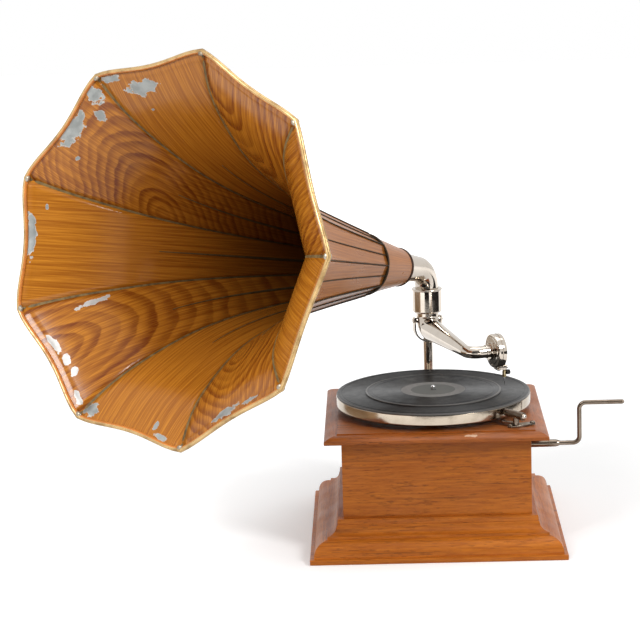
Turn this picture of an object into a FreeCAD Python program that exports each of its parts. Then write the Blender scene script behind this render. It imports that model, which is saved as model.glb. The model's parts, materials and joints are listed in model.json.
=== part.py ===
# Table-top horn gramophone with a spring motor, in millimetres.
# Frame: origin at the centre of the cabinet's underside, +X right, +Y back, +Z up.
import FreeCAD
import Part
import math
import os

from FreeCAD import Matrix, Placement, Rotation, Vector

# Clearances
running_fit = 0.05        # radial, shaft in its own bearing
seat_fit = 0.02           # radial, piece fixed on or in another of the same body
air_gap = 0.3             # between neighbours that move past each other
cut_margin = 1.0          # how far a cutting shape reaches past the face that it cuts

# Cabinet: base board, mouldings, case, top
base_width = 326.8
base_board_height = 6.9
base_step = 5.2           # base board edge to the foot of the ovolo
base_cap = 7.5            # case to the outside of the mouldings' cap
ovolo_share = 0.536       # widths of the ovolo, quirk and cove, as shares of the room between foot and cap
ovolo_rise = 20.2
quirk_share = 0.036
quirk_rise = 3.2
cove_share = 0.398
cove_rise = 12.0
cap_rise = 7.2
moulding_bow = 0.2        # height of the ovolo's and the cove's arcs, as a share of their chords
case_width = 240.6
case_wall = 12.0
case_height = 143.35      # above the base board
panel_inset = 1.4         # motor board's edge inside the platter's rim
panel_thickness = 10.95
top_overhang = 16.35      # top moulding beyond the panel
top_edge = 4.65
top_bevel_rise = 4.7
top_bevel_bow = 1.0
top_lip = 2.4             # flat of the moulding beside the panel

# Turntable
platter_radius = 127.0
platter_height = 11.0
platter_wall = 3.0
platter_gap = 8.0         # panel to platter rim
platter_edge = 1.0        # chamfer under the rim
platter_hub_radius = 14.0
platter_hub_gap = 0.9     # panel to platter hub
mat_thickness = 4.3
record_radius = 89.0
record_thickness = 2.0
spindle_radius = 3.6
spindle_tip = 6.0         # above the record
spindle_nose_radius = 2.2
spindle_nose = 0.4
spindle_foot = 2.0        # depth of the spindle in the bottom plate
spindle_hole_gap = 1.5

# Pivot column behind the cabinet: bracket, post, collar
column_x = -2.6
column_gap = 13.05        # edge of the top moulding to the column's centre
post_radius = 5.8
post_pin_radius = 2.2
post_boss_wall = 3.0
bracket_width = 10.4
bracket_depth = 12.0
bracket_foot_width = 54.0
bracket_foot_height = 74.0
bracket_foot_thickness = 6.0
bracket_arm_z = 100.0
bracket_arm_height = 18.0
bracket_screw_head = 4.2
collar_z = 259.1
collar_height = 32.9
collar_radius = 20.0
collar_wall = 1.9
collar_bead = 0.9
collar_ledge_z = 272.0
collar_ledge = 3.0        # thickness of the ledge that carries the elbow
collar_ledge_radius = 13.6

# Horn elbow and horn, measured along the horn's axis from the column
horn_azimuth = 34.3       # degrees left of straight ahead
horn_elevation = 11.9
horn_axis_z = 317.8       # where the horn's axis meets the column's
elbow_radius = 15.75
elbow_end_radius = 19.2
elbow_bend = 30.0
elbow_wall = 1.5
spigot_length = 25.0
throat_s = 72.3
throat_radius = 25.1
throat_bead = 1.7
bush_length = 14.0
neck_s = 155.9
neck_radius = 39.6
neck_ring_width = 3.0
neck_ring_outside = 2.8
neck_ring_edge = 1.0
panel_count = 9
panel_turn = 82.56        # degrees, first seam about the axis
sheet = 1.0
flare_length_shares = (0.2507, 0.5155, 0.7082, 0.8382, 0.9369)    # of the way from neck to mouth
flare_radius_shares = (0.1067, 0.2446, 0.4132, 0.5945, 0.7860)    # of the growth from neck to mouth
mouth_s = 571.2
mouth_radius = 235.4      # rim bead centre at a seam
rim_bead = 3.0
scallop_back = 2.2        # rim at mid-panel, back from the corners
scallop_in = 3.0
rib_width = 1.6
rib_height = 3.0
rib_tip_height = 0.8
rib_proud = 0.3
mid_rib_share = 0.6275    # length of the ribs as a share of the panels'
mid_rib_width = 1.3
mid_rib_height = 1.5
mid_rib_tip = 0.3         # height where the rib ends
mid_rib_stations = 9

# Tone arm, yoke and soundbox
arm_top_z = 266.0
arm_radius = 15.3
arm_bend = 17.5
arm_axis_z = 237.5        # where the arm's axis meets the column's
arm_dip = 3.0             # soundbox below that level
arm_wall = 1.3
arm_end_x = 47.9
arm_end_y = -5.0
pipe_radius = 8.0
pipe_bend = 14.0
pipe_length = 32.0
pipe_angle = 22.2         # degrees, end pipe from +X towards +Y
yoke_pivot_z = 248.0
yoke_gap = 2.6            # arm to strap
yoke_strap = 2.0
yoke_width = 9.0
yoke_screw_radius = 2.0
yoke_screw_head = 3.4
soundbox_radius = 22.3
soundbox_depth = 13.0
soundbox_wall = 2.2
soundbox_boss_radius = 11.0
soundbox_boss = 4.0
soundbox_edge = 1.0
diaphragm_depth = 8.0
diaphragm_thickness = 0.8
diaphragm_seat = 2.0
stylus_reach = 18.0       # soundbox back to the needle
stylus_bar = 2.6
chuck_radius = 2.6
chuck_length = 13.0
chuck_drop = 24.0         # soundbox axis to the chuck's top
chuck_cap = 1.0
shoe_width = 5.2          # foot of the stylus bar on the soundbox's rim
shoe_height = 4.0
needle_radius = 0.75
needle_clearance = 0.3    # needle tip above the record's level
screw_head_radius = 3.2
screw_head_length = 4.5
screw_stem_radius = 1.2

# Spring motor
crank_z = 110.0
plate_thickness = 3.0
plate_margin = 9.0
pillar_radius = 4.5
pillar_edge = 2.0         # pillar to the plate's edges
motor_gap = 1.3           # motor plates to the case
barrel_share = 0.38781    # radius of the barrel's toothed rim over the case's half width inside
barrel_rim = 5.0          # pitch circle of that rim to the drum
barrel_height = 38.0
barrel_wall = 2.0
barrel_foot_gap = 4.0
barrel_lid_gap = 1.0
wheel_gap = 7.0           # middle wheel to the winding gear's hub
wheel_thickness = 4.0
barrel_teeth = 60
pinion_teeth = 12
middle_wheel_teeth = 48
middle_module = 1.0
backlash = 0.25
pressure_angle = 20.0
addendum = 0.85           # tooth heights above and below the pitch circle, in modules
flank_foot = 0.3
dedendum = 1.2
arbor_radius = 4.0
mainspring_strip = 0.9
mainspring_turns = 7
winding_teeth = 24
winding_pinion_teeth = 12
winding_module = 2.0
winding_face = 8.0
winding_hub = 4.0
winding_hub_radius = 18.0
winding_plate_gap = 6.0   # pitch circle of the winding pinion to the top plate
winding_tooth_root = 1.3  # half widths of a bevel tooth, as shares of a quarter of its pitch
winding_tooth_tip = 0.36
winding_shaft_radius = 4.5
winding_shaft_out = 24.0  # beyond the case
crank_bush_radius = 9.0
crank_bush_flange = 13.0
crank_bush_lip = 2.0
drive_teeth = 36
drive_radius = 16.0
drive_tooth = 1.6
drive_tooth_root = 0.34   # half widths of a drive-wheel tooth, as shares of its pitch
drive_tooth_tip = 0.14
worm_radius = 5.0
worm_length = 22.0
governor_length = 84.0
governor_shaft_radius = 2.4
governor_disc_radius = 12.5
governor_disc_thickness = 2.5
governor_weight_radius = 4.0
governor_weight_length = 9.0
governor_swing = 8.5      # springs off the governor's axis at their middle
governor_plate_gap = 2.0
governor_spring = 0.8
governor_spring_width = 4.0
governor_weights = 3
governor_collar_radius = 6.5
governor_collar_length = 4.0
governor_worm_gap = 1.5
governor_lug_gap = 1.0
lug_thickness = 5.0
lug_reach = 8.0           # lug beyond the governor's axis, sideways and up
pad_arm_width = 6.0
pad_arm_thickness = 2.5
pad_length = 3.0

# Crank
crank_sleeve_radius = 4.9
crank_sleeve = 45.2       # end of the sleeve's taper, beyond the case
crank_taper = 6.0
crank_rod_radius = 3.0
crank_reach = 70.7        # case to the crank's arm
crank_throw = 54.0
crank_bend = 8.5
crank_grip = 59.0         # arm to the grip's end

# Brake
brake_post_gap = 22.646   # platter's rim to the post
brake_post_turn = -47.031    # degrees, the post's direction from the spindle
brake_post_radius = 2.0
brake_base_length = 31.0
brake_base_width = 13.0
brake_base_thickness = 3.0
brake_base_turn = 24.0    # degrees from +X
brake_base_rim = 0.6      # plate round its screw heads
brake_base_offset = 7.75  # post to the plate's middle
brake_tube_z = 177.0
brake_tube_radius = 5.0
brake_tube_wall = 1.4
brake_tube_tail = 15.0
brake_tube_end = 3.0
brake_turn = 126.0        # degrees, direction of the tube towards the rim
brake_lever_thickness = 2.4
brake_lever_width = 6.0
brake_finger = 19.0
brake_finger_lip = 1.0
brake_finger_turn = 146.0
brake_pad_length = 9.0
brake_pad_grip = 6.0      # length of the pad inside the tube
brake_screw_head = 3.4
dome_share = 0.6          # height of a screw's dome over its radius


def level_direction(angle):
    """Level direction at an angle from +X, in degrees."""
    return Vector(math.cos(math.radians(angle)), math.sin(math.radians(angle)), 0)


# Levels and places worked out from the sizes above
base_half = base_width / 2
case_half = case_width / 2
panel_half = platter_radius - panel_inset
top_half = panel_half + top_overhang
column_y = top_half + column_gap
case_top_z = base_board_height + case_height
panel_z = case_top_z + panel_thickness
rim_z = panel_z + platter_gap
platter_top_z = rim_z + platter_height
mat_top_z = platter_top_z + mat_thickness
record_top_z = mat_top_z + record_thickness
half_panel = math.radians(180.0 / panel_count)
column = Vector(column_x, column_y, 0)
pipe_dir = level_direction(pipe_angle)
pipe_end = pipe_length + soundbox_wall
soundbox_z = arm_axis_z - arm_dip
arm_heading = math.degrees(math.atan2(arm_end_y - column_y, arm_end_x - column_x))
yoke_inner = arm_radius + yoke_gap
yoke_outer = yoke_inner + yoke_strap
yoke_base_z = arm_axis_z - yoke_outer
needle_tip_z = record_top_z + needle_clearance
needle_screw_level = -chuck_drop - chuck_length / 2
brake_centre = level_direction(brake_post_turn) * (platter_radius + brake_post_gap)
brake_base_centre = brake_centre + level_direction(brake_base_turn) * brake_base_offset
brake_dir = level_direction(brake_turn)

# Motor levels hang from the winding shaft's height
winding_gear_radius = winding_module * winding_teeth / 2
winding_pinion_radius = winding_module * winding_pinion_teeth / 2
winding_gear_z = crank_z - winding_pinion_radius
winding_shaft_end = case_half + winding_shaft_out
middle_wheel_z = winding_gear_z - winding_hub - wheel_gap - wheel_thickness
barrel_top_z = middle_wheel_z - barrel_lid_gap
barrel_z = barrel_top_z - barrel_height
bottom_plate_z = barrel_z - barrel_foot_gap
top_plate_z = crank_z + winding_pinion_radius + winding_plate_gap
governor_sweep = max(governor_disc_radius, governor_swing + governor_spring + governor_weight_radius)
governor_z = bottom_plate_z + governor_sweep + governor_plate_gap
case_room = case_half - case_wall
barrel_gear_radius = barrel_share * case_room
barrel_module = 2 * barrel_gear_radius / barrel_teeth
barrel_radius = barrel_gear_radius - barrel_rim
barrel_x = case_room - motor_gap - plate_margin - barrel_gear_radius
barrel_pinion_radius = barrel_module * pinion_teeth / 2
middle_wheel_radius = middle_module * middle_wheel_teeth / 2
spindle_pinion_radius = middle_module * pinion_teeth / 2
governor_x = -(drive_radius + drive_tooth + worm_radius + air_gap)


def middle_arbor_place():
    """Where the arbor between barrel and spindle stands, from its two centre distances."""
    to_barrel = barrel_gear_radius + barrel_pinion_radius
    to_spindle = middle_wheel_radius + spindle_pinion_radius
    x = (to_spindle**2 - to_barrel**2 + barrel_x**2) / (2 * barrel_x)
    return Vector(x, math.sqrt(to_spindle**2 - x**2), 0)


middle_place = middle_arbor_place()


def cylinder(radius, z0, z1, x=0.0, y=0.0):
    """Upright cylinder between two heights."""
    return Part.makeCylinder(radius, z1 - z0, Vector(x, y, z0))


def rod(radius, start, end):
    """Round bar from one point to another."""
    return Part.makeCylinder(radius, (end - start).Length, start, end - start)


def bent_rod(corner, before, after, bend, radius):
    """Round bend that turns from one direction to another at a corner, with its start and end points."""
    angle = before.getAngle(after)
    tangent = bend * math.tan(angle / 2)
    start = corner - before * tangent
    normal = before.cross(after).normalize()
    section = Part.Circle(start, before, radius).toShape()
    centre = start + normal.cross(before) * bend
    solid = Part.Face(Part.Wire(section)).revolve(centre, normal, math.degrees(angle))
    return start, corner + after * tangent, solid


def block(x0, x1, y0, y1, z0, z1):
    """Box between two corners."""
    return Part.makeBox(x1 - x0, y1 - y0, z1 - z0, Vector(x0, y0, z0))


def outline_face(points):
    """Flat face inside straight lines through the points."""
    return Part.Face(Part.makePolygon(list(points) + [points[0]]))


def edge_loop_face(edges):
    """Flat face inside a closed chain of edges."""
    return Part.Face(Part.Wire(Part.__sortEdges__(edges)))


def line(start, end):
    """Straight edge."""
    return Part.LineSegment(start, end).toShape()


def bowed(start, end, bow):
    """Arc whose middle stands off the chord by bow, to the left of its direction in X and Z."""
    chord = end - start
    normal = Vector(-chord.z, 0, chord.x).normalize()
    return Part.Arc(start, (start + end) * 0.5 + normal * bow, end).toShape()


def turned(points, base=Vector(0, 0, 0), axis=Vector(0, 0, 1)):
    """Solid of revolution of a closed outline given as (radius, height) pairs on Z."""
    face = outline_face([Vector(r, 0, z) for r, z in points])
    solid = face.revolve(Vector(0, 0, 0), Vector(0, 0, 1), 360)
    solid.Placement = Placement(base, Rotation(Vector(0, 0, 1), axis))
    return solid


def spun(shape, angle, centre=Vector(0, 0, 0)):
    """Copy turned about a vertical axis."""
    copy = shape.copy()
    copy.rotate(centre, Vector(0, 0, 1), angle)
    return copy


def moved(shape, place):
    """Copy shifted by a vector."""
    copy = shape.copy()
    copy.translate(place)
    return copy


# Cabinet


def mitred_sides(face, reach):
    """Four mouldings of one section, given in X and Z, mitred at the corners."""
    length = face.extrude(Vector(0, 2 * reach, 0))
    length.translate(Vector(0, -reach, 0))
    heights = face.BoundBox
    foot = heights.ZMin - cut_margin
    corner = [Vector(0, 0, foot), Vector(2 * reach, -2 * reach, foot), Vector(2 * reach, 2 * reach, foot)]
    wedge = outline_face(corner).extrude(Vector(0, 0, heights.ZLength + 2 * cut_margin))
    side = length.common(wedge)
    return Part.makeCompound([spun(side, 90 * k) for k in range(4)])


def base_mouldings():
    """Ovolo, quirk, cove and cap round the foot of the case."""
    foot = Vector(base_half - base_step, 0, base_board_height)
    cap_reach = case_half + base_cap
    room = foot.x - cap_reach
    ovolo_run = ovolo_share * room
    cove_run = cove_share * room
    ovolo_top = foot + Vector(-ovolo_run, 0, ovolo_rise)
    quirk_foot = ovolo_top + Vector(-quirk_share * room, 0, 0)
    quirk_top = quirk_foot + Vector(0, 0, quirk_rise)
    cove_top = quirk_top + Vector(-cove_run, 0, cove_rise)
    cap_foot = Vector(cap_reach, 0, cove_top.z)
    cap_top = cap_foot + Vector(0, 0, cap_rise)
    inner_top = Vector(case_half, 0, cap_top.z)
    inner_foot = Vector(case_half, 0, base_board_height)
    bow = moulding_bow * math.hypot(ovolo_run, ovolo_rise)
    hollow = moulding_bow * math.hypot(cove_run, cove_rise)
    edges = [bowed(foot, ovolo_top, -bow), line(ovolo_top, quirk_foot), line(quirk_foot, quirk_top),
             bowed(quirk_top, cove_top, hollow), line(cove_top, cap_foot), line(cap_foot, cap_top),
             line(cap_top, inner_top), line(inner_top, inner_foot), line(inner_foot, foot)]
    return mitred_sides(edge_loop_face(edges), base_half)


def top_mouldings():
    """Thin-edged bevelled moulding round the motor board."""
    edge_foot = Vector(top_half, 0, case_top_z)
    edge_top = edge_foot + Vector(0, 0, top_edge)
    lip = Vector(panel_half + top_lip, 0, edge_top.z + top_bevel_rise)
    inner_top = Vector(panel_half, 0, lip.z)
    inner_foot = Vector(panel_half, 0, case_top_z)
    edges = [line(edge_foot, edge_top), bowed(edge_top, lip, -top_bevel_bow), line(lip, inner_top),
             line(inner_top, inner_foot), line(inner_foot, edge_foot)]
    return mitred_sides(edge_loop_face(edges), top_half)


def case_board(front_or_back):
    """One side of the case: front and back run the full width, the sides stand between them."""
    half = case_half if front_or_back else case_half - case_wall
    return block(-half, half, -case_half, -case_half + case_wall, base_board_height, case_top_z)


def case_right():
    """Right side, bored for the crank bush."""
    board = spun(case_board(False), 90)
    hole = rod(crank_bush_radius + seat_fit, Vector(0, 0, crank_z), Vector(base_half, 0, crank_z))
    return board.cut(hole)


def motor_board():
    """Flat panel under the turntable, with a hole for the spindle."""
    board = block(-panel_half, panel_half, -panel_half, panel_half, case_top_z, panel_z)
    return board.cut(cylinder(spindle_radius + spindle_hole_gap, case_top_z, panel_z))


# Column behind the cabinet


def bracket():
    """Cast bracket: foot on the case back, arm under the post, upright behind the collar."""
    x0 = column_x - bracket_width / 2
    x1 = x0 + bracket_width
    back = column_y + collar_radius + bracket_depth
    arm_top = bracket_arm_z + bracket_arm_height
    collar_top = collar_z + collar_height
    inner = back - bracket_depth
    bend = bracket_depth / 2
    corner = math.sqrt(0.5)
    low = Vector(x0, case_half, bracket_arm_z)
    turn_low = Vector(x0, back - bend, bracket_arm_z)
    turn_mid = Vector(x0, back - bend + bend * corner, bracket_arm_z + bend - bend * corner)
    turn_high = Vector(x0, back, bracket_arm_z + bend)
    head_top = Vector(x0, back, collar_top - 3 * collar_bead)
    head_front = Vector(x0, column_y, head_top.z)
    head_low = Vector(x0, column_y, collar_z + collar_wall)
    neck_low = Vector(x0, inner, collar_z + collar_wall)
    inside = Vector(x0, inner, arm_top)
    top = Vector(x0, case_half, arm_top)
    edges = [line(low, turn_low), Part.Arc(turn_low, turn_mid, turn_high).toShape(),
             line(turn_high, head_top), line(head_top, head_front), line(head_front, head_low),
             line(head_low, neck_low), line(neck_low, inside), line(inside, top), line(top, low)]
    arm = edge_loop_face(edges).extrude(Vector(x1 - x0, 0, 0))
    arm = arm.cut(cylinder(collar_radius, collar_z, collar_top, column_x, column_y))
    middle_z = bracket_arm_z + bracket_arm_height / 2
    foot = block(column_x - bracket_foot_width / 2, column_x + bracket_foot_width / 2, case_half,
                 case_half + bracket_foot_thickness, middle_z - bracket_foot_height / 2,
                 middle_z + bracket_foot_height / 2 - 2 * top_edge)
    boss = cylinder(post_radius + post_boss_wall, bracket_arm_z, arm_top, column_x, column_y)
    return foot.fuse([arm, boss]).removeSplitter()


def bracket_screw_places():
    """Centres of the foot's four screws on the case back."""
    inset = 2 * bracket_screw_head
    middle_z = bracket_arm_z + bracket_arm_height / 2
    places = []
    for side in (-1, 1):
        for level in (-1, 1):
            x = column_x + side * (bracket_foot_width / 2 - inset)
            z = middle_z - top_edge + level * (bracket_foot_height / 2 - top_edge - inset)
            places.append(Vector(x, case_half + bracket_foot_thickness, z))
    return places


def post():
    """Upright that carries the yoke, with a thin pin at its top for the yoke to turn on."""
    foot_z = bracket_arm_z + bracket_arm_height
    stem = cylinder(post_radius, foot_z, yoke_base_z - air_gap, column_x, column_y)
    pin = cylinder(post_pin_radius, foot_z, yoke_base_z + yoke_strap, column_x, column_y)
    return stem.fuse(pin).removeSplitter()


def collar():
    """Ring that the elbow stands in and the tone arm's top reaches into."""
    z1 = collar_z + collar_height
    bore = elbow_radius + running_fit
    lower = collar_radius - collar_wall
    outer = collar_radius + collar_bead
    ledge_top = collar_ledge_z + collar_ledge
    outline = [(lower, collar_z), (collar_radius - collar_bead, collar_z),
               (collar_radius, collar_z + 2 * collar_bead), (collar_radius, z1 - 3 * collar_bead),
               (outer, z1 - 2.5 * collar_bead), (outer, z1 - collar_bead), (collar_radius, z1), (bore, z1),
               (bore, ledge_top), (collar_ledge_radius, ledge_top), (collar_ledge_radius, collar_ledge_z),
               (lower, collar_ledge_z)]
    return turned(outline, column)


# Horn


def horn_frame():
    """Placement whose Z runs along the horn's axis from the column, with X level."""
    around = math.radians(horn_azimuth)
    rise = math.radians(horn_elevation)
    axis = Vector(-math.sin(around) * math.cos(rise), -math.cos(around) * math.cos(rise), math.sin(rise))
    level = Vector(0, 0, 1).cross(axis).normalize()
    up = axis.cross(level)
    return Placement(Matrix(level.x, up.x, axis.x, column_x,
                            level.y, up.y, axis.y, column_y,
                            level.z, up.z, axis.z, horn_axis_z,
                            0, 0, 0, 1))


def on_horn(shape, angle=0.0):
    """Copy turned about the horn's own axis and set in place on the elbow."""
    return placed(spun(shape, angle))


def placed(shape):
    """Copy carried from the horn's own frame to the cabinet's."""
    copy = shape.copy()
    copy.Placement = horn_frame().multiply(copy.Placement)
    return copy


def flare_curve(scale, lift):
    """Horn section in X and Z: seam radius times scale, raised square to the sheet by lift."""
    length = mouth_s - neck_s
    growth = mouth_radius - neck_radius
    stations = [neck_s + share * length for share in (0,) + flare_length_shares + (1,)]
    radii = [neck_radius + share * growth for share in (0,) + flare_radius_shares + (1,)]
    base = Part.BSplineCurve()
    base.interpolate([Vector(r * scale, 0, s) for s, r in zip(stations, radii)])
    if lift == 0:
        return base
    raised = Part.BSplineCurve()
    points = []
    for s, r in zip(stations, radii):
        slope = base.tangent(base.parameter(Vector(r * scale, 0, s)))[0]
        points.append(Vector(r * scale + lift_at(lift, s) / abs(slope.z), 0, s))
    raised.interpolate(points)
    return raised


def lift_at(lift, s):
    """A lift is one number, or two that taper from the neck to the mouth."""
    if isinstance(lift, tuple):
        share = (s - neck_s) / (mouth_s - neck_s)
        return lift[0] + share * (lift[1] - lift[0])
    return lift


def flare_strip(scale, low, high):
    """Face between two raised copies of the flare, square-ended at neck and mouth."""
    under = flare_curve(scale, low).toShape()
    over = flare_curve(scale, high).toShape()
    ends = [line(under.Vertexes[k].Point, over.Vertexes[k].Point) for k in (0, 1)]
    return edge_loop_face([under, over] + ends)


def sector(back_off):
    """Wedge between two seam planes about X, held back from each by back_off."""
    apex = back_off / math.sin(half_panel)
    far = 2 * mouth_radius
    rise = (far - apex) * math.tan(half_panel)
    corner = [Vector(apex, 0, 0), Vector(far, -rise, 0), Vector(far, rise, 0)]
    return outline_face(corner).extrude(Vector(0, 0, 2 * mouth_s))


def rim_arc():
    """Centre line of the rim bead across one panel: corner, hollowed middle, corner."""
    side = mouth_radius * math.sin(half_panel)
    flat = mouth_radius * math.cos(half_panel)
    hollow = Vector(flat - scallop_in, 0, mouth_s - scallop_back)
    return Part.ArcOfCircle(Vector(flat, -side, mouth_s), hollow, Vector(flat, side, mouth_s))


def rim_bead_solid(back_off):
    """Round bead over one panel's end, mitred at the seam planes or held back from them."""
    arc = rim_arc()
    extra = 2 * rim_bead / arc.Radius
    whole = Part.ArcOfCircle(arc.Circle, arc.FirstParameter - extra, arc.LastParameter + extra)
    start = whole.value(whole.FirstParameter)
    section = Part.Circle(start, whole.tangent(whole.FirstParameter)[0], rim_bead).toShape()
    turn = math.degrees(whole.LastParameter - whole.FirstParameter)
    bead = Part.Face(Part.Wire(section)).revolve(arc.Center, arc.Axis, turn)
    return bead.common(sector(back_off))


def horn_panel(bead):
    """One flared sheet, flat across, cut at the seams and hollowed along the rim."""
    width = 2 * mouth_radius
    sheet_strip = flare_strip(math.cos(half_panel), 0, sheet)
    body = sheet_strip.extrude(Vector(0, width, 0))
    body.translate(Vector(0, -width / 2, 0))
    side = mouth_radius * math.sin(half_panel)
    edge = Part.Arc(Vector(0, -side, mouth_s), Vector(0, 0, mouth_s - scallop_back), Vector(0, side, mouth_s))
    far = mouth_s + 10 * rim_bead
    edges = [edge.toShape(), line(Vector(0, side, mouth_s), Vector(0, side, far)),
             line(Vector(0, side, far), Vector(0, -side, far)),
             line(Vector(0, -side, far), Vector(0, -side, mouth_s))]
    trim = edge_loop_face(edges).extrude(Vector(2 * mouth_radius, 0, 0))
    return body.common(sector(rib_width / 2)).cut(trim).cut(bead)


def seam_rib(bead):
    """Folded seam between two panels, a little proud inside and standing out behind."""
    strip = flare_strip(1, -rib_proud, (rib_height, rib_tip_height))
    rib = strip.extrude(Vector(0, rib_width, 0))
    rib.translate(Vector(0, -rib_width / 2, 0))
    one = spun(bead, math.degrees(half_panel))
    other = spun(bead, -math.degrees(half_panel))
    return rib.cut(one).cut(other)


def mid_rib():
    """Stiffening fold up the middle of a panel's back, fading out part of the way to the mouth."""
    under = flare_curve(math.cos(half_panel), sheet)
    start = under.FirstParameter
    end = start + mid_rib_share * (under.LastParameter - start)
    under.segment(start, end)
    crest = []
    for k in range(mid_rib_stations):
        share = k / (mid_rib_stations - 1)
        at = start + share * (end - start)
        height = mid_rib_height + share * (mid_rib_tip - mid_rib_height)
        crest.append(under.value(at) + Vector(height / abs(under.tangent(at)[0].z), 0, 0))
    over = Part.BSplineCurve()
    over.interpolate(crest)
    edges = [under.toShape(), over.toShape(), line(under.value(start), crest[0]),
             line(under.value(end), crest[-1])]
    rib = edge_loop_face(edges).extrude(Vector(0, mid_rib_width, 0))
    return moved(rib, Vector(0, -mid_rib_width / 2, 0))


def neck_ring():
    """Band where the panels meet the throat cone."""
    z0 = neck_s - neck_ring_width
    outer = neck_radius + neck_ring_outside
    inner = neck_radius * math.cos(half_panel) - sheet
    edge = neck_ring_edge
    outline = [(inner, z0), (outer - edge, z0), (outer, z0 + edge), (outer, neck_s - edge),
               (outer - edge, neck_s), (inner, neck_s)]
    return turned(outline)


def throat_slope():
    """Radius gained by the throat cone for each millimetre along the axis."""
    return (neck_radius - throat_radius) / (neck_s - neck_ring_width - throat_s)


def throat_cone():
    """Plain cone behind the panels, with its small end rolled."""
    end = neck_s - neck_ring_width
    cone = turned([(throat_radius - sheet, throat_s), (throat_radius, throat_s), (neck_radius, end),
                   (neck_radius - sheet, end)])
    roll = Part.makeTorus(throat_radius - sheet / 2, throat_bead, Vector(0, 0, throat_s))
    inside = throat_radius - sheet
    low = throat_s - 2 * throat_bead
    high = throat_s + 2 * throat_bead
    roll = roll.cut(turned([(0, low), (inside, low), (inside, throat_s),
                            (inside + 2 * throat_bead * throat_slope(), high), (0, high)]))
    return cone.fuse(roll).removeSplitter()


def throat_bush():
    """Bush inside the cone's small end that slides on the elbow."""
    bore = elbow_end_radius + running_fit
    outer = throat_radius - sheet - seat_fit
    end = throat_s + bush_length
    end_radius = outer + bush_length * throat_slope()
    return turned([(bore, throat_s), (outer, throat_s), (end_radius, end), (bore, end)])


def elbow_solid(thinner):
    """Elbow from the collar to the horn, with its radii reduced by thinner."""
    radius = elbow_radius - thinner
    end_radius = elbow_end_radius - thinner
    crossing = Vector(column_x, column_y, horn_axis_z)
    up = Vector(0, 0, 1)
    along = horn_frame().Rotation.multVec(up)
    knee_start, knee_end, knee = bent_rod(crossing, up, along, elbow_bend, radius)
    foot = Vector(column_x, column_y, collar_ledge_z + collar_ledge + air_gap)
    upright = rod(radius, foot, knee_start)
    start = (knee_end - crossing).Length
    end = throat_s + spigot_length
    arm = placed(turned([(0, start), (radius, start), (end_radius, throat_s), (end_radius, end), (0, end)]))
    return upright.fuse([knee, arm]).removeSplitter()


def elbow():
    """Hollow elbow."""
    return elbow_solid(0).cut(elbow_solid(elbow_wall))


# Tone arm


def tonearm_solid(thinner):
    """Tone arm from its mouth in the collar to the end of its pipe, radii reduced by thinner."""
    big = arm_radius - thinner
    small = pipe_radius - thinner
    crossing = Vector(column_x, column_y, arm_axis_z)
    corner = Vector(arm_end_x, arm_end_y, soundbox_z)
    along = (corner - crossing).normalize()
    down = Vector(0, 0, -1)
    knee_start, knee_end, knee = bent_rod(crossing, down, along, arm_bend, big)
    upright = rod(big, Vector(column_x, column_y, arm_top_z), knee_start)
    turn_start, turn_end, turn = bent_rod(corner, along, pipe_dir, pipe_bend, small)
    taper = Part.makeCone(big, small, (turn_start - knee_end).Length, knee_end, along)
    pipe = rod(small, turn_end, corner + pipe_dir * pipe_end)
    return upright.fuse([knee, taper, turn, pipe]).removeSplitter()


def tonearm():
    """Hollow tapered tone arm with tapped bosses for the yoke screws."""
    bosses = [rod(yoke_screw_head, yoke_point(side * (arm_radius - 3 * arm_wall)),
                  yoke_point(side * (arm_radius + yoke_gap - air_gap))) for side in (-1, 1)]
    holes = [rod(yoke_screw_radius + running_fit, yoke_point(side * (arm_radius - 4 * arm_wall)),
                 yoke_point(side * yoke_outer)) for side in (-1, 1)]
    body = tonearm_solid(0).fuse(bosses).cut(tonearm_solid(arm_wall))
    return body.cut(Part.makeCompound(holes))


def yoke_point(out):
    """Point on the yoke's level axis, out from the column."""
    return column + level_direction(arm_heading + 90) * out + Vector(0, 0, yoke_pivot_z)


def yoke():
    """U strap under the tone arm's bend, turning on the post."""
    rise = yoke_pivot_z - arm_axis_z + yoke_width / 2
    bows = []
    for radius in (yoke_inner, yoke_outer):
        bows.append(Part.Arc(Vector(-radius, 0, 0), Vector(0, 0, -radius), Vector(radius, 0, 0)).toShape())
    sides = []
    for side in (-1, 1):
        sides.append(line(Vector(side * yoke_inner, 0, 0), Vector(side * yoke_inner, 0, rise)))
        sides.append(line(Vector(side * yoke_inner, 0, rise), Vector(side * yoke_outer, 0, rise)))
        sides.append(line(Vector(side * yoke_outer, 0, rise), Vector(side * yoke_outer, 0, 0)))
    strap = edge_loop_face(bows + sides).extrude(Vector(0, yoke_width, 0))
    strap.translate(Vector(0, -yoke_width / 2, 0))
    strap.rotate(Vector(0, 0, 0), Vector(0, 0, 1), arm_heading + 90)
    strap.translate(Vector(column_x, column_y, arm_axis_z))
    bore = post_pin_radius + running_fit
    bearing = cylinder(bore, yoke_base_z - cut_margin, arm_axis_z, column_x, column_y)
    screws = rod(yoke_screw_radius + seat_fit, yoke_point(-2 * yoke_outer), yoke_point(2 * yoke_outer))
    return strap.cut(bearing).cut(screws)


def yoke_screws():
    """Two pivot screws through the strap into the arm's bosses."""
    screws = []
    for side in (-1, 1):
        strap_face = yoke_point(side * yoke_outer)
        stem = rod(yoke_screw_radius, yoke_point(side * (arm_radius - 2 * arm_wall)), strap_face)
        head = rod(yoke_screw_head, strap_face, yoke_point(side * (yoke_outer + yoke_strap)))
        screws.append(stem.fuse(head).removeSplitter())
    return Part.makeCompound(screws)


def at_soundbox(shape):
    """Copy carried from the soundbox's own frame (X out along the end pipe, Z up) to its place."""
    copy = shape.copy()
    place = Vector(arm_end_x, arm_end_y, soundbox_z) + pipe_dir * pipe_length
    copy.Placement = Placement(place, Rotation(Vector(0, 0, 1), pipe_angle)).multiply(copy.Placement)
    return copy


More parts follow.
